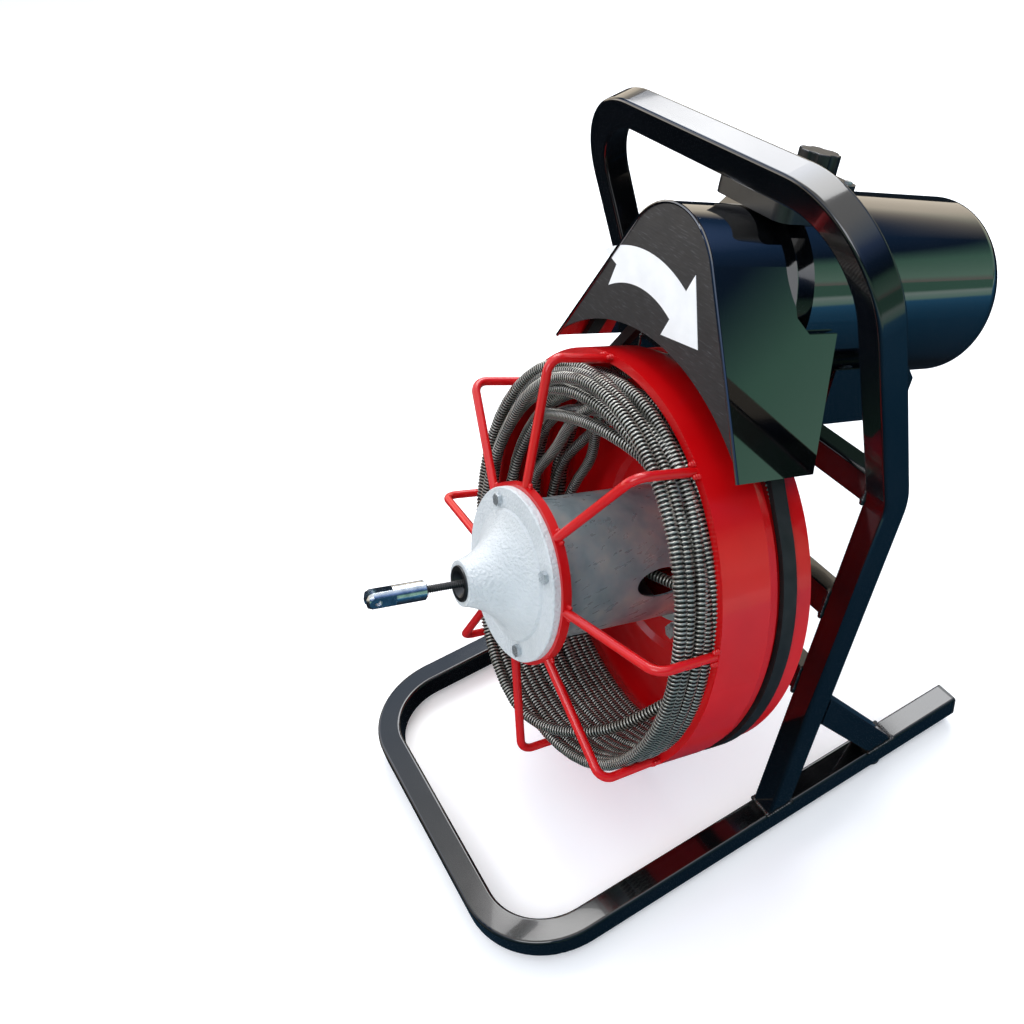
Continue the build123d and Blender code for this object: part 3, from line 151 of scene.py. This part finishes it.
def uneven(name, tint, shine, grain, **constants):
    """New material whose colour, roughness and relief each follow lumps of their own.

    tint is (lumps, colour stops), shine is (lumps, lowest, highest roughness) and grain is (lumps, depth in mm,
    strength). Each of these lumps holds the size and then any other values that the function lumps takes.
    """
    made, tree, sockets = material(name, **constants)
    clouds, stops = tint
    patches, smoothest, roughest = shine
    fine, depth_mm, strength = grain
    colour = add(tree, "ShaderNodeValToRGB", {"Fac": lumps(tree, *clouds)}, stops)
    reach = {"Value": lumps(tree, *patches), "To Min": smoothest, "To Max": roughest}
    roughness = add(tree, "ShaderNodeMapRange", reach)
    relief = {"Height": lumps(tree, *fine), "Distance": depth_mm * MM, "Strength": strength}
    tree.links.new(colour.outputs["Color"], sockets["Base Color"])
    tree.links.new(roughness.outputs["Result"], sockets["Roughness"])
    tree.links.new(add(tree, "ShaderNodeBump", relief).outputs["Normal"], sockets["Normal"])
    return made


print("white is", [round(c, 3) for c in srgb("#ffffff")], "in linear colour")

# %% [markdown]
# ## Gloss black powder coat
# The frame is mild steel tube, sprayed with charged powder and baked. The melted powder gives a hard gloss with a
# faint orange peel, so reflections are bright but their edges wander. Dust dulls it a little in patches. The guard
# and the motor have a smoother stoved enamel, which mirrors the room almost like glass, so its IOR is higher.

# %% Black powder coat
ORANGE_PEEL_MM = 2.2


def gloss_black(name, rough, ior, peel_mm):
    """Black paint with a hard gloss, cloudy only where dust dulls it."""
    return uneven(
        name,
        tint=((60,), [(0.3, "#020203"), (0.75, "#08090b")]),
        shine=((35, 5), *rough),
        grain=((ORANGE_PEEL_MM, 1), peel_mm, 0.25),
        Roughness=rough[0], IOR=ior, Coat_Weight=0.5, Coat_Roughness=0.03,
    )


black_coat = gloss_black("black_powder_coat_gloss", (0.06, 0.2), 1.55, 0.03)
black_enamel = gloss_black("black_stoving_enamel", (0.02, 0.08), 2.2, 0.008)
print("made", black_coat.name, "and", black_enamel.name)

# %% [markdown]
# ## Red gloss enamel
# The drum and its cage are sprayed in a warm, strong red. A clear top layer mirrors the sky and leaves the colour
# under it deep, so the shader gets a coat. Sprayed sheet metal shows slow waves as well as the fine peel.

# %% Red enamel
red_enamel = uneven(
    "red_enamel_sprayed",
    tint=((90,), [(0.25, "#c00208"), (0.8, "#dc060e")]),
    shine=((40, 5), 0.22, 0.42),
    grain=((3.0, 2), 0.06, 0.3),
    Roughness=0.3, IOR=1.45, Coat_Weight=0.45, Coat_Roughness=0.05,
)
print("made", red_enamel.name)

# %% [markdown]
# ## Satin charcoal paint
# The guard's front plate isn't as glossy as the rest: a thin satin paint, scuffed by hands and cartons. Long, thin,
# stretched noise gives fine scratches that are a shade lighter than the paint.

# %% Charcoal paint
SCUFF = (2.5, 6, (0.25, 3, 3), 0.5)
charcoal = uneven(
    "charcoal_satin_paint",
    tint=(SCUFF, [(0.35, "#1f1f22"), (0.6, "#29292c"), (0.72, "#4a4a4d")]),
    shine=((12, 6), 0.32, 0.55),
    grain=((1.2, 2), 0.03, 0.4),
    Roughness=0.42, IOR=1.5,
)
print("made", charcoal.name)

# %% [markdown]
# ## Zinc plate, galvanised tube and turned steel
# Zinc is a bright bluish metal. On bolts it is plated thin and even; on the hub tube it is thicker, cloudy and
# scratched by the cable. One function makes both, because only tint, grain and roughness differ.

# %% Metals
def metal(name, stops, patch_mm, rough, scratch=(1, 1, 1), grain_mm=0.6, depth_mm=0.02, metallic=1.0):
    """Bare or plated metal with cloudy tint, uneven roughness and a fine grain."""
    return uneven(
        name,
        tint=((patch_mm, 4), stops),
        shine=((patch_mm / 3, 6, scratch), *rough),
        grain=((grain_mm, 3, scratch), depth_mm, 0.5),
        Metallic=metallic, Roughness=rough[0],
    )


zinc = metal("zinc_plated_steel", [(0.3, "#aeb4b8"), (0.7, "#d8dde0")], 4, (0.2, 0.4), metallic=0.75)
galvanised = metal("galvanised_tube", [(0.3, "#93a9b0"), (0.5, "#b6c4c8"), (0.7, "#cfd2cf")], 26, (0.2, 0.4),
                   scratch=(1, 0.35, 1.6), grain_mm=1.6, depth_mm=0.005, metallic=0.55)
turned_steel = metal("turned_bright_steel", [(0.3, "#b7bdc2"), (0.7, "#e4e7ea")], 6, (0.12, 0.28))
spring_steel = metal("spring_steel_oiled", [(0.35, "#9c9a92"), (0.65, "#c2c1b9")], 60, (0.24, 0.36),
                     depth_mm=0.001, metallic=0.7)
core_steel = metal("laminated_core_steel", [(0.3, "#6e7074"), (0.7, "#8b8d92")], 5, (0.35, 0.55))
copper = metal("enamelled_copper_wire", [(0.3, "#9a4f26"), (0.7, "#c87740")], 3, (0.3, 0.45), grain_mm=1.2,
               depth_mm=0.2)
print("made", zinc.name, galvanised.name, turned_steel.name, spring_steel.name, core_steel.name, copper.name)

# %% [markdown]
# ## Sand cast aluminium, painted white
# The nose is cast in sand and sprayed off-white. The sand's grain stays under the paint as fine pebbles about
# 3 mm apart, so the surface sparkles softly and never mirrors.

# %% Cast nose
PEBBLE_MM = 2.6
cast_white = uneven(
    "sand_cast_aluminium_painted_white",
    tint=((30, 4), [(0.3, "#c6cbcd"), (0.7, "#d4d8da")]),
    shine=((5, 4), 0.34, 0.5),
    grain=((PEBBLE_MM, 1), 1.5, 1.0),
    Roughness=0.45, IOR=1.5, Coat_Weight=0.15, Coat_Roughness=0.3,
)
print("made", cast_white.name)

# %% [markdown]
# ## Rubber, moulded plastic and vinyl
# Rubber, plastic and vinyl don't shine much. Rubber is darkest and dullest, moulded ABS has a fine spark-eroded grain
# from its mould, and the arrow is smooth white vinyl with a slight sheen. A dark grey brown is painted into the
# cable's gaps as shade.

# %% Dull materials
def dull(name, stops, patch_mm, rough, grain_mm, depth_mm, ior=1.5):
    """Plastic or rubber with a soft tint, uneven roughness and a moulded grain."""
    return uneven(
        name,
        tint=((patch_mm, 4), stops),
        shine=((patch_mm / 2, 5), *rough),
        grain=((grain_mm, 2), depth_mm, 0.6),
        Roughness=rough[0], IOR=ior,
    )


rubber = dull("rubber_moulded_black", [(0.3, "#141516"), (0.7, "#232425")], 15, (0.5, 0.7), 0.8, 0.05, 1.52)
abs_black = dull("abs_moulded_black", [(0.3, "#101113"), (0.7, "#1a1b1d")], 10, (0.28, 0.42), 0.6, 0.03, 1.53)
vinyl_white = dull("vinyl_film_white", [(0.3, "#ececec"), (0.7, "#f6f6f6")], 20, (0.3, 0.42), 1.0, 0.01)
# Painted shade for the cable's grooves: a dark colour that stands in for the shadow between its ribs.
painted_shade_in_gaps = dull("painted_shade_in_cable_gaps", [(0.3, "#14120f"), (0.7, "#2a2621")], 6, (0.25, 0.4), 1.0, 0.02, 1.47)
print("made", rubber.name, abs_black.name, vinyl_white.name, painted_shade_in_gaps.name)

# %% [markdown]
# ## Dress the plain nodes
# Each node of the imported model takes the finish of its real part. Their meshes aren't touched.

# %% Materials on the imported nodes
FINISHES = {
    black_coat: ["base_frame", "upright_frame", "brace_left", "brace_right", "bearing_bars", "motor_bar",
                 "bearing_housing", "guard_back_plate", "motor_cradle", "motor_foot"],
    black_enamel: ["motor_shell", "motor_front_bell", "motor_rear_cover", "guard_wrap"],
    red_enamel: ["drum_shell", "drum_back_plate", "cage_ring", "cage_rods"],
    charcoal: ["guard_front_plate"],
    zinc: ["bearing_bolts", "guard_screw_set", "foot_bolt_set", "lid_screw_set", "shaft_nut", "hub_bolt_set",
           "nose_bolt_set"],
    galvanised: ["hub_tube"],
    turned_steel: ["clevis_coupling", "drum_bearings", "motor_bearings", "drum_shaft", "motor_shaft", "drum_hub",
                   "motor_pulley"],
    spring_steel: ["cable_hank", "cable_lead", "cable_end"],
    core_steel: ["stator_core", "rotor"],
    copper: ["stator_windings"],
    cast_white: ["nose_cone"],
    rubber: ["rubber_feet", "drive_belt"],
    abs_black: ["rail_end_plugs", "switch_box", "switch_lid", "switch_block", "cord_gland", "nose_bushing",
                "switch_knob", "switch_spindle", "cooling_fan", "leader_rod"],
    vinyl_white: ["direction_sticker"],
}
for finish, names in FINISHES.items():
    for name in names:
        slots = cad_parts[name].data.materials
        for index in range(len(slots)):
            slots[index] = finish
print("dressed", sum(len(names) for names in FINISHES.values()), "nodes")

# %% [markdown]
# ## Helpers for shapes
# New pieces start as a bmesh. `finish_piece` turns one into an object at the origin with its place in its mesh,
# shades it smooth and puts it on its body.

# %% Helpers for shapes
def finish_piece(bm, name, body, materials, smooth_angle=35):
    """Makes a bmesh an object on a body, with its finish."""
    mesh = bpy.data.meshes.new(name)
    bm.to_mesh(mesh)
    bm.free()
    return finish_mesh(mesh, name, body, materials, smooth_angle)


def finish_mesh(mesh, name, body, materials, smooth_angle=35):
    """Makes a mesh an object on a body, with its finish."""
    for finish in materials:
        mesh.materials.append(finish)
    mesh.shade_smooth()
    mesh.set_sharp_from_angle(angle=radians(smooth_angle))
    made = bpy.data.objects.new(name, mesh)
    bpy.context.scene.collection.objects.link(made)
    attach(made, body)
    print(name, len(mesh.polygons), "faces")
    return made


def chain(bm, points):
    """Vertices joined by edges, open, from (x, y, z) in metres."""
    verts = [bm.verts.new(p) for p in points]
    edges = [bm.edges.new(pair) for pair in zip(verts, verts[1:])]
    return verts + edges


# %% [markdown]
# ## The steel cable
# A drain cable is a tightly wound spring. Its turns catch the light, and the gaps between them get a dark colour
# painted in as shade. A modelled turn is only a ring with a groove, so one short cell is spun once, then an Array
# modifier repeats it and a Curve modifier bends the row along the cable's route. Light then rakes over real ribs. The
# ribs are drawn further apart than a real cable's, so that they show from a few steps away.

# %% One cell of the cable
CABLE_RADIUS = 5.5
CELL_PITCH = 3.6
GROOVE_DEPTH = 1.6
RIB_SPAN = (0.42, 0.9)  # the part of a cell's length that is steel; the rest takes the painted shade
SHOULDER = 0.35  # how far a rib's shoulders lie below its crest


def cable_cell(radius, pitch, depth, sides):
    """Mesh of one rib and its groove, along X. The groove's faces take the second material, a painted shade."""
    bm = bmesh.new()
    root, shoulder = radius - depth, radius - SHOULDER
    profile = [(0, root), (0.32, root), (0.44, shoulder), (0.66, radius), (0.88, shoulder), (1, root)]
    parts = chain(bm, [(x * pitch * MM, r * MM, 0) for x, r in profile])
    bmesh.ops.spin(bm, geom=parts, cent=(0, 0, 0), axis=(1, 0, 0), angle=2 * pi, steps=sides, use_merge=True)
    bmesh.ops.remove_doubles(bm, verts=bm.verts, dist=1e-6)
    bmesh.ops.recalc_face_normals(bm, faces=bm.faces)
    for face in bm.faces:
        middle = face.calc_center_median()
        if Vector((0, middle.y, middle.z)).dot(face.normal) < 0:
            face.normal_flip()
        # Groove faces take the painted shade, rib faces the steel.
        face.material_index = 0 if RIB_SPAN[0] < middle.x / (pitch * MM) < RIB_SPAN[1] else 1
    mesh = bpy.data.meshes.new("cable_cell")
    bm.to_mesh(mesh)
    bm.free()
    return mesh


def ribbed_along(points, cell, name):
    """Mesh of the cell repeated along a smooth NURBS route through the points' hull."""
    curve = bpy.data.curves.new(name + "_route", "CURVE")
    curve.dimensions = "3D"
    curve.twist_mode = "MINIMUM"
    spline = curve.splines.new("NURBS")
    spline.points.add(len(points) - 1)
    for point, co in zip(spline.points, points):
        point.co = (*co, 1)
    spline.order_u = 3
    spline.use_endpoint_u = True
    spline.resolution_u = 4
    route = bpy.data.objects.new(name + "_route", curve)
    row = bpy.data.objects.new(name + "_row", cell)
    for made in (route, row):
        bpy.context.scene.collection.objects.link(made)
    array = row.modifiers.new("repeat", "ARRAY")
    array.fit_type = "FIT_CURVE"
    array.curve = route
    array.use_merge_vertices = True
    array.merge_threshold = 0.00005
    bend = row.modifiers.new("bend", "CURVE")
    bend.object = route
    bpy.context.view_layer.update()
    seen = bpy.context.evaluated_depsgraph_get()
    mesh = bpy.data.meshes.new_from_object(row.evaluated_get(seen), depsgraph=seen)
    length = spline.calc_length()
    bpy.data.objects.remove(row)
    bpy.data.objects.remove(route)
    print(name, "is", round(length, 2), "m long")
    return mesh


cell = cable_cell(CABLE_RADIUS, CELL_PITCH, GROOVE_DEPTH, 9)
print("one cell of the cable has", len(cell.polygons), "faces")

# %% [markdown]
# The cable lies as it was pushed in. Its loops are tilted and slack: close together against the near rim, spread
# over the drum's depth at the bottom and far side, and crossing at the top. Each row below is one turn: how far
# forward it lies at the near side, top, far side and bottom, how much it falls inwards, and at what angle. A NURBS
# curve runs inside its control points, so they are pushed out by the share that it cuts off between them.

# %% The cable's turns
TURNS = [
    (-70, -72, -74, -73, 0, 0),
    (-58, -60, -64, -66, 14, 120),
    (-46, -40, -54, -58, 58, 135),
    (-36, -26, -42, -50, 34, 70),
    (-24, -10, -60, -42, 76, 150),
    (-14, 2, -30, -34, 46, 115),
    (-4, 14, -20, -26, 66, 140),
    (-20, 6, -10, -17, 30, 125),
    (3, 22, -14, -10, 52, 110),
    (14, 4, -2, 0, 30, 150),
    (25, 15, 8, 9, 10, 100),
    (8, 26, 14, 18, 24, 130),
    (19, 10, 20, 28, 0, 0),
    (31, 32, 22, 40, 26, 150),
]
INNER_LAYER = {11, 12}
POINTS_PER_TURN = 12
TURN_RADIUS = 174.5
LAYER = 11  # one cable's thickness
HULL = (1 + cos(2 * pi / POINTS_PER_TURN)) / 2


def eased(a, b, t):
    """Value between a and b with a soft start and end."""
    return a + (b - a) * (1 - cos(pi * t)) / 2


def turn_point(step):
    """Control point of the cable at a step counted from its first turn."""
    turn = min(step // POINTS_PER_TURN, len(TURNS) - 1)
    angle = 360 * (step % POINTS_PER_TURN) / POINTS_PER_TURN
    row = TURNS[turn]
    after = TURNS[min(turn + 1, len(TURNS) - 1)]
    stations = [row[0], row[1], row[2], row[3], after[0]]
    quarter = int(angle // 90)
    station = eased(stations[quarter], stations[quarter + 1], angle / 90 - quarter)
    fall = row[4] * max(0, cos(radians(angle - row[5]))) ** 3
    layer = LAYER if turn in INNER_LAYER and angle < 120 else 0
    radius = (TURN_RADIUS - fall - layer) / HULL
    return polar(radius, angle, station)


lead = [place(0, 0, 2), place(0, 0, -12), place(0, 0, -26), polar(26, 10, -34), polar(70, 10, -46),
        polar(112, 10, -57), polar(150, 14, -63)]
steps = range(1, POINTS_PER_TURN * len(TURNS) - 2)
tail = [polar(160, 302, 20), polar(150, 330, -8), polar(152, 352, -40)]
cable_points = lead + [turn_point(step) for step in steps] + tail
cable_mesh = ribbed_along(cable_points, cell, "cable_turns")
print("cable turns have", len(cable_mesh.polygons), "faces")

# %% [markdown]
# One mesh of the whole cable is too heavy for a single part file, so it is cut into lengths by face number. The
# faces come in order along the cable, which makes every piece one clean stretch.

# %% Cut the cable into pieces
PIECES = 3


def stretch(mesh, first, last, name):
    """Copy of a mesh that keeps only the faces numbered from first up to last."""
    bm = bmesh.new()
    bm.from_mesh(mesh)
    bm.faces.ensure_lookup_table()
    extra = [face for face in bm.faces if not first <= face.index < last]
    bmesh.ops.delete(bm, geom=extra, context="FACES")
    return finish_piece(bm, name, "drum", [spring_steel, painted_shade_in_gaps], 60)


total = len(cable_mesh.polygons)
cable_pieces = [
    stretch(cable_mesh, total * k // PIECES, total * (k + 1) // PIECES, f"cable_turns_{k + 1}")
    for k in range(PIECES)
]
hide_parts("cable_hank", "cable_lead")

# %% [markdown]
# The cable's straight end and its leader slide out through the nose, so they are pieces of their own.

# %% The cable's straight end and leader
end_mesh = ribbed_along([place(0, 0, 2.5), place(0, 0, 50), place(0, 0, 98)], cell, "cable_tip_coil")
cable_tip_coil = finish_mesh(end_mesh, "cable_tip_coil", "cable_tip", [spring_steel, painted_shade_in_gaps], 60)
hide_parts("cable_end")
LEADER_RADIUS = 3.5
LEADER_PITCH = 2.0
leader_cell = cable_cell(LEADER_RADIUS, LEADER_PITCH, 0.5, 12)
leader_mesh = ribbed_along([place(0, 0, 97), place(0, 0, 130), place(0, 0, 163)], leader_cell, "leader_coil")
leader_coil = finish_mesh(leader_mesh, "leader_coil", "cable_tip", [abs_black, abs_black], 60)
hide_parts("leader_rod")

# %% [markdown]
# ## The guard's rolled edge
# The guard's skin is folded over its front plate, so a thin round edge runs along both flanks and over the arch, and
# catches a bright line of light. It could be a curve with a bevel. A spin fits better, because the arch is a true arc:
# a small ring is spun over it, and each open end is extruded down its straight flank.

# %% Guard edge
ARCH_RADIUS = 64
FLANK_CORNER = (142, -100)
EDGE_RADIUS = 1.5
EDGE_SINK = 0.9  # how far the bead's middle lies inside the arch
GUARD_FRONT = -14
corner_reach = Vector(FLANK_CORNER).length
flank_angle = atan2(-FLANK_CORNER[1], -FLANK_CORNER[0]) - asin(ARCH_RADIUS / corner_reach) - pi / 2
flank_length = (corner_reach**2 - ARCH_RADIUS**2) ** 0.5


def guard_edge(radius, station, name, finish):
    """Round bead along the guard's outline at a station."""
    bm = bmesh.new()
    bmesh.ops.create_circle(bm, segments=8, radius=EDGE_RADIUS * MM)
    bmesh.ops.rotate(bm, verts=bm.verts, matrix=Matrix.Rotation(pi / 2, 3, "X"))
    bmesh.ops.translate(bm, verts=bm.verts, vec=(radius * MM, 0, 0))
    bmesh.ops.rotate(bm, verts=bm.verts, matrix=Matrix.Rotation(flank_angle, 3, "Z"))
    first = bm.edges[:]
    spun = bmesh.ops.spin(bm, geom=first, cent=(0, 0, 0), axis=(0, 0, 1), angle=pi - 2 * flank_angle, steps=40)
    last = [part for part in spun["geom_last"] if isinstance(part, bmesh.types.BMEdge)]
    for edges, side in ((first, 1), (last, -1)):
        drawn = bmesh.ops.extrude_edge_only(bm, edges=edges)["geom"]
        corners = [part for part in drawn if isinstance(part, bmesh.types.BMVert)]
        reach = Vector((side * sin(flank_angle), -cos(flank_angle), 0)) * flank_length * MM
        bmesh.ops.translate(bm, verts=corners, vec=reach)
        rim = [part for part in drawn if isinstance(part, bmesh.types.BMEdge) and part.is_boundary]
        bmesh.ops.contextual_create(bm, geom=rim)
    bmesh.ops.recalc_face_normals(bm, faces=bm.faces)
    bmesh.ops.transform(bm, matrix=MACHINE @ Matrix.Translation((0, MOTOR_HEIGHT * MM, station * MM)), verts=bm.verts)
    return finish_piece(bm, name, "frame", [finish])


guard_edge(ARCH_RADIUS - EDGE_SINK, GUARD_FRONT, "guard_lip", black_enamel)

# %% [markdown]
# ## Welds
# A weld laid by hand looks like a row of coins that lean on one another. Each run here is a row of small
# spheres, a little uneven in size, set along the seam between two painted tubes.

# %% Weld runs
COIN_STEP = 2.6
COIN_RADIUS = 2.3


def weld_run(bm, start, end, radius=COIN_RADIUS):
    """Row of overlapping coins from one point to another."""
    start, end = Vector(start), Vector(end)
    count = max(1, round((end - start).length / (COIN_STEP * MM)))
    for k in range(count + 1):
        size = radius * (1 + 0.16 * sin(5.1 * k) + 0.1 * sin(2.3 * k))
        coin = bmesh.ops.create_icosphere(bm, subdivisions=2, radius=size * MM)["verts"]
        bmesh.ops.translate(bm, verts=coin, vec=start.lerp(end, k / count))


def weld_loop(bm, corners):
    """Weld run round a closed set of corners."""
    for start, end in zip(corners, corners[1:] + corners[:1]):
        weld_run(bm, start, end)


POST_STATION = -141.5
HALF_TUBE = 12.5
POST_INNER_X = 166
BAR_HEIGHTS = (-42, 42, 155.5)
RAIL_EDGES = (-191, -166, 166, 191)
POST_HEEL = (-43, -16)  # where a post's rear and front faces meet the rails
BRACE_RUN = 30
TUBE_RING = [(-1, -1), (1, -1), (1, 1), (-1, 1)]
frame_seams = bmesh.new()
for side in (-1, 1):
    for height in BAR_HEIGHTS:
        corners = [
            place(side * POST_INNER_X, height + HALF_TUBE * up, POST_STATION + HALF_TUBE * along)
            for up, along in TUBE_RING
        ]
        weld_loop(frame_seams, corners)
for name in ("brace_left", "brace_right"):
    low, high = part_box(name)
    for x in (low[0], high[0]):
        weld_run(frame_seams, (x, high[1] - BRACE_RUN * MM, low[2]), (x, high[1], low[2]))
    weld_run(frame_seams, (low[0], high[1], low[2]), (high[0], high[1], low[2]))
rail_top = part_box("base_frame")[1][2]
for x in RAIL_EDGES:
    weld_run(frame_seams, (x * MM, POST_HEEL[0] * MM, rail_top), (x * MM, POST_HEEL[1] * MM, rail_top))
for x in RAIL_EDGES[::2]:
    for y in POST_HEEL:
        weld_run(frame_seams, (x * MM, y * MM, rail_top), ((x + 2 * HALF_TUBE) * MM, y * MM, rail_top))
finish_piece(frame_seams, "frame_welds", "frame", [black_coat], 80)

# %% [markdown]
# The cage's rods are tacked to the drum's rim and to the ring at the nose, with a short run on both sides of each.

# %% Welds of the cage
ROD_ANGLES = [10 + 45 * k for k in range(8)]
RIM_RADIUS = 190
RING_EDGE = (80, 84)
RING_STATION = 70
cage_seams = bmesh.new()
for angle in ROD_ANGLES:
    for lean in (-1.6, 1.6):
        weld_run(cage_seams, polar(RIM_RADIUS, angle + lean, 0), polar(RIM_RADIUS, angle + lean, 4), 2.6)
        ends = [polar(radius, angle + 2.3 * lean, RING_STATION) for radius in RING_EDGE]
        weld_run(cage_seams, *ends, 2.4)
finish_piece(cage_seams, "cage_welds", "drum", [red_enamel], 80)

# %% [markdown]
# ## Floor
# The machine stands on a plain matt floor that looks white to the camera. Gloss paint would then mirror nothing but
# white, so reflections see another floor: a glow that runs from dark blue to grey green across the room. The Light
# Path node tells the two apart. Only the floor and the world do this, and the machine's own materials don't.

# %% Floor
FLOOR_SIZE = 60
FLOOR_FADE = 2.4  # metres along X over which the mirrored colours run
bpy.ops.mesh.primitive_plane_add(size=FLOOR_SIZE, location=(0, 0, 0))
floor = bpy.context.object
floor.name = "floor"
floor_paint, tree, sockets = material("floor_paint_matt_white", Roughness=0.9)
cloudy = add(tree, "ShaderNodeValToRGB", {"Fac": lumps(tree, 400, 2)}, [(0.3, "#f4f4f4"), (0.7, "#fafafa")])
tree.links.new(cloudy.outputs["Color"], sockets["Base Color"])
where = add(tree, "ShaderNodeTexCoord").outputs["Object"]
across = add(tree, "ShaderNodeSeparateXYZ", {"Vector": where}).outputs["X"]
reach = add(tree, "ShaderNodeMapRange", {"Value": across, "From Min": 0.0, "From Max": FLOOR_FADE})
MIRRORED = [
    (0.0, "#141b22"), (0.25, "#24506e"), (0.5, "#3d7aa3"), (0.56, "#8fb8ac"), (0.8, "#b9cfc8"), (1.0, "#5d8a78"),
]
shade = add(tree, "ShaderNodeValToRGB", {"Fac": reach.outputs["Result"]}, MIRRORED).outputs["Color"]
glossy = add(tree, "ShaderNodeLightPath").outputs["Is Glossy Ray"]
mirrored = add(tree, "ShaderNodeEmission", {"Color": shade, "Strength": 1.3}).outputs["Emission"]
glow = add(tree, "ShaderNodeEmission", {"Color": srgb("#ffffff"), "Strength": 0.22}).outputs["Emission"]
lit = add(tree, "ShaderNodeAddShader", {0: tree.nodes["Principled BSDF"].outputs["BSDF"], 1: glow}).outputs["Shader"]
shown = add(tree, "ShaderNodeMixShader", {0: glossy, 1: lit, 2: mirrored}).outputs["Shader"]
tree.links.new(shown, tree.nodes["Material Output"].inputs["Surface"])
floor.data.materials.append(floor_paint)
print("floor", FLOOR_SIZE, "m wide")

# %% [markdown]
# ## Sky and lamps
# The sky is white to the camera. To everything else it runs from grey green at the horizon through deep blue to white
# overhead, so that gloss paint shows where a surface turns. Low down on the -X side it is warm instead. Two soft lamps
# light the front, and a wide one high behind puts the long highlight on the motor.

# %% Sky
world = bpy.data.worlds.new("studio")
bpy.context.scene.world = world
world.use_nodes = True
tree = world.node_tree
where = add(tree, "ShaderNodeTexCoord").outputs["Generated"]
direction = add(tree, "ShaderNodeSeparateXYZ", {"Vector": where}).outputs
SKY = [
    (0.0, "#9a9a92"), (0.05, "#8fb8a4"), (0.22, "#6a9a86"), (0.3, "#1c3048"), (0.45, "#2c4a70"), (0.62, "#6d8cc4"),
    (0.72, "#c4d6ee"), (0.85, "#ffffff"),
]
sky = add(tree, "ShaderNodeValToRGB", {"Fac": direction["Z"]}, SKY).outputs["Color"]
near_horizon = add(tree, "ShaderNodeMapRange", {"Value": direction["Z"], "From Min": 0.4, "From Max": 0.24})
left_side = add(tree, "ShaderNodeMapRange", {"Value": direction["X"], "From Min": 0.1, "From Max": -0.4})
both = {0: near_horizon.outputs["Result"], 1: left_side.outputs["Result"]}
horizon = add(tree, "ShaderNodeMath", both, operation="MULTIPLY").outputs["Value"]
seen = add(tree, "ShaderNodeLightPath").outputs["Is Camera Ray"]
# A colour mix has its factor at 0, its two colours at 6 and 7, and its colour result at 2.
warm = add(tree, "ShaderNodeMix", {0: horizon, 6: sky, 7: srgb("#fff1dc")}, data_type="RGBA").outputs[2]
backdrop = add(tree, "ShaderNodeMix", {0: seen, 6: warm, 7: srgb("#ffffff")}, data_type="RGBA").outputs[2]
tree.nodes["Background"].inputs["Strength"].default_value = 1.25
tree.links.new(backdrop, tree.nodes["Background"].inputs["Color"])
print("sky in", len(SKY), "colours")


# %% [markdown]
# An area lamp shines along its own -Z, so it is aimed in the same way as the camera.

# %% Lamps
def lamp(name, place_at, aim_at, size, watts):
    """Square area lamp aimed at a point."""
    made = bpy.data.objects.new(name, bpy.data.lights.new(name, "AREA"))
    made.data.size = size
    made.data.energy = watts
    made.location = place_at
    made.rotation_euler = (Vector(aim_at) - made.location).to_track_quat("-Z", "Y").to_euler()
    bpy.context.scene.collection.objects.link(made)


lamp("key", (1.2, -1.7, 2.2), (0, -0.1, 0.3), 1.4, 22)
lamp("fill", (-1.8, -1.2, 1.4), (0, -0.1, 0.3), 1.6, 10)
lamp("overhead", (-1.6, 1.3, 2.8), (0, -0.1, 0.4), 2.4, 95)
bpy.context.scene.view_settings.view_transform = "Standard"
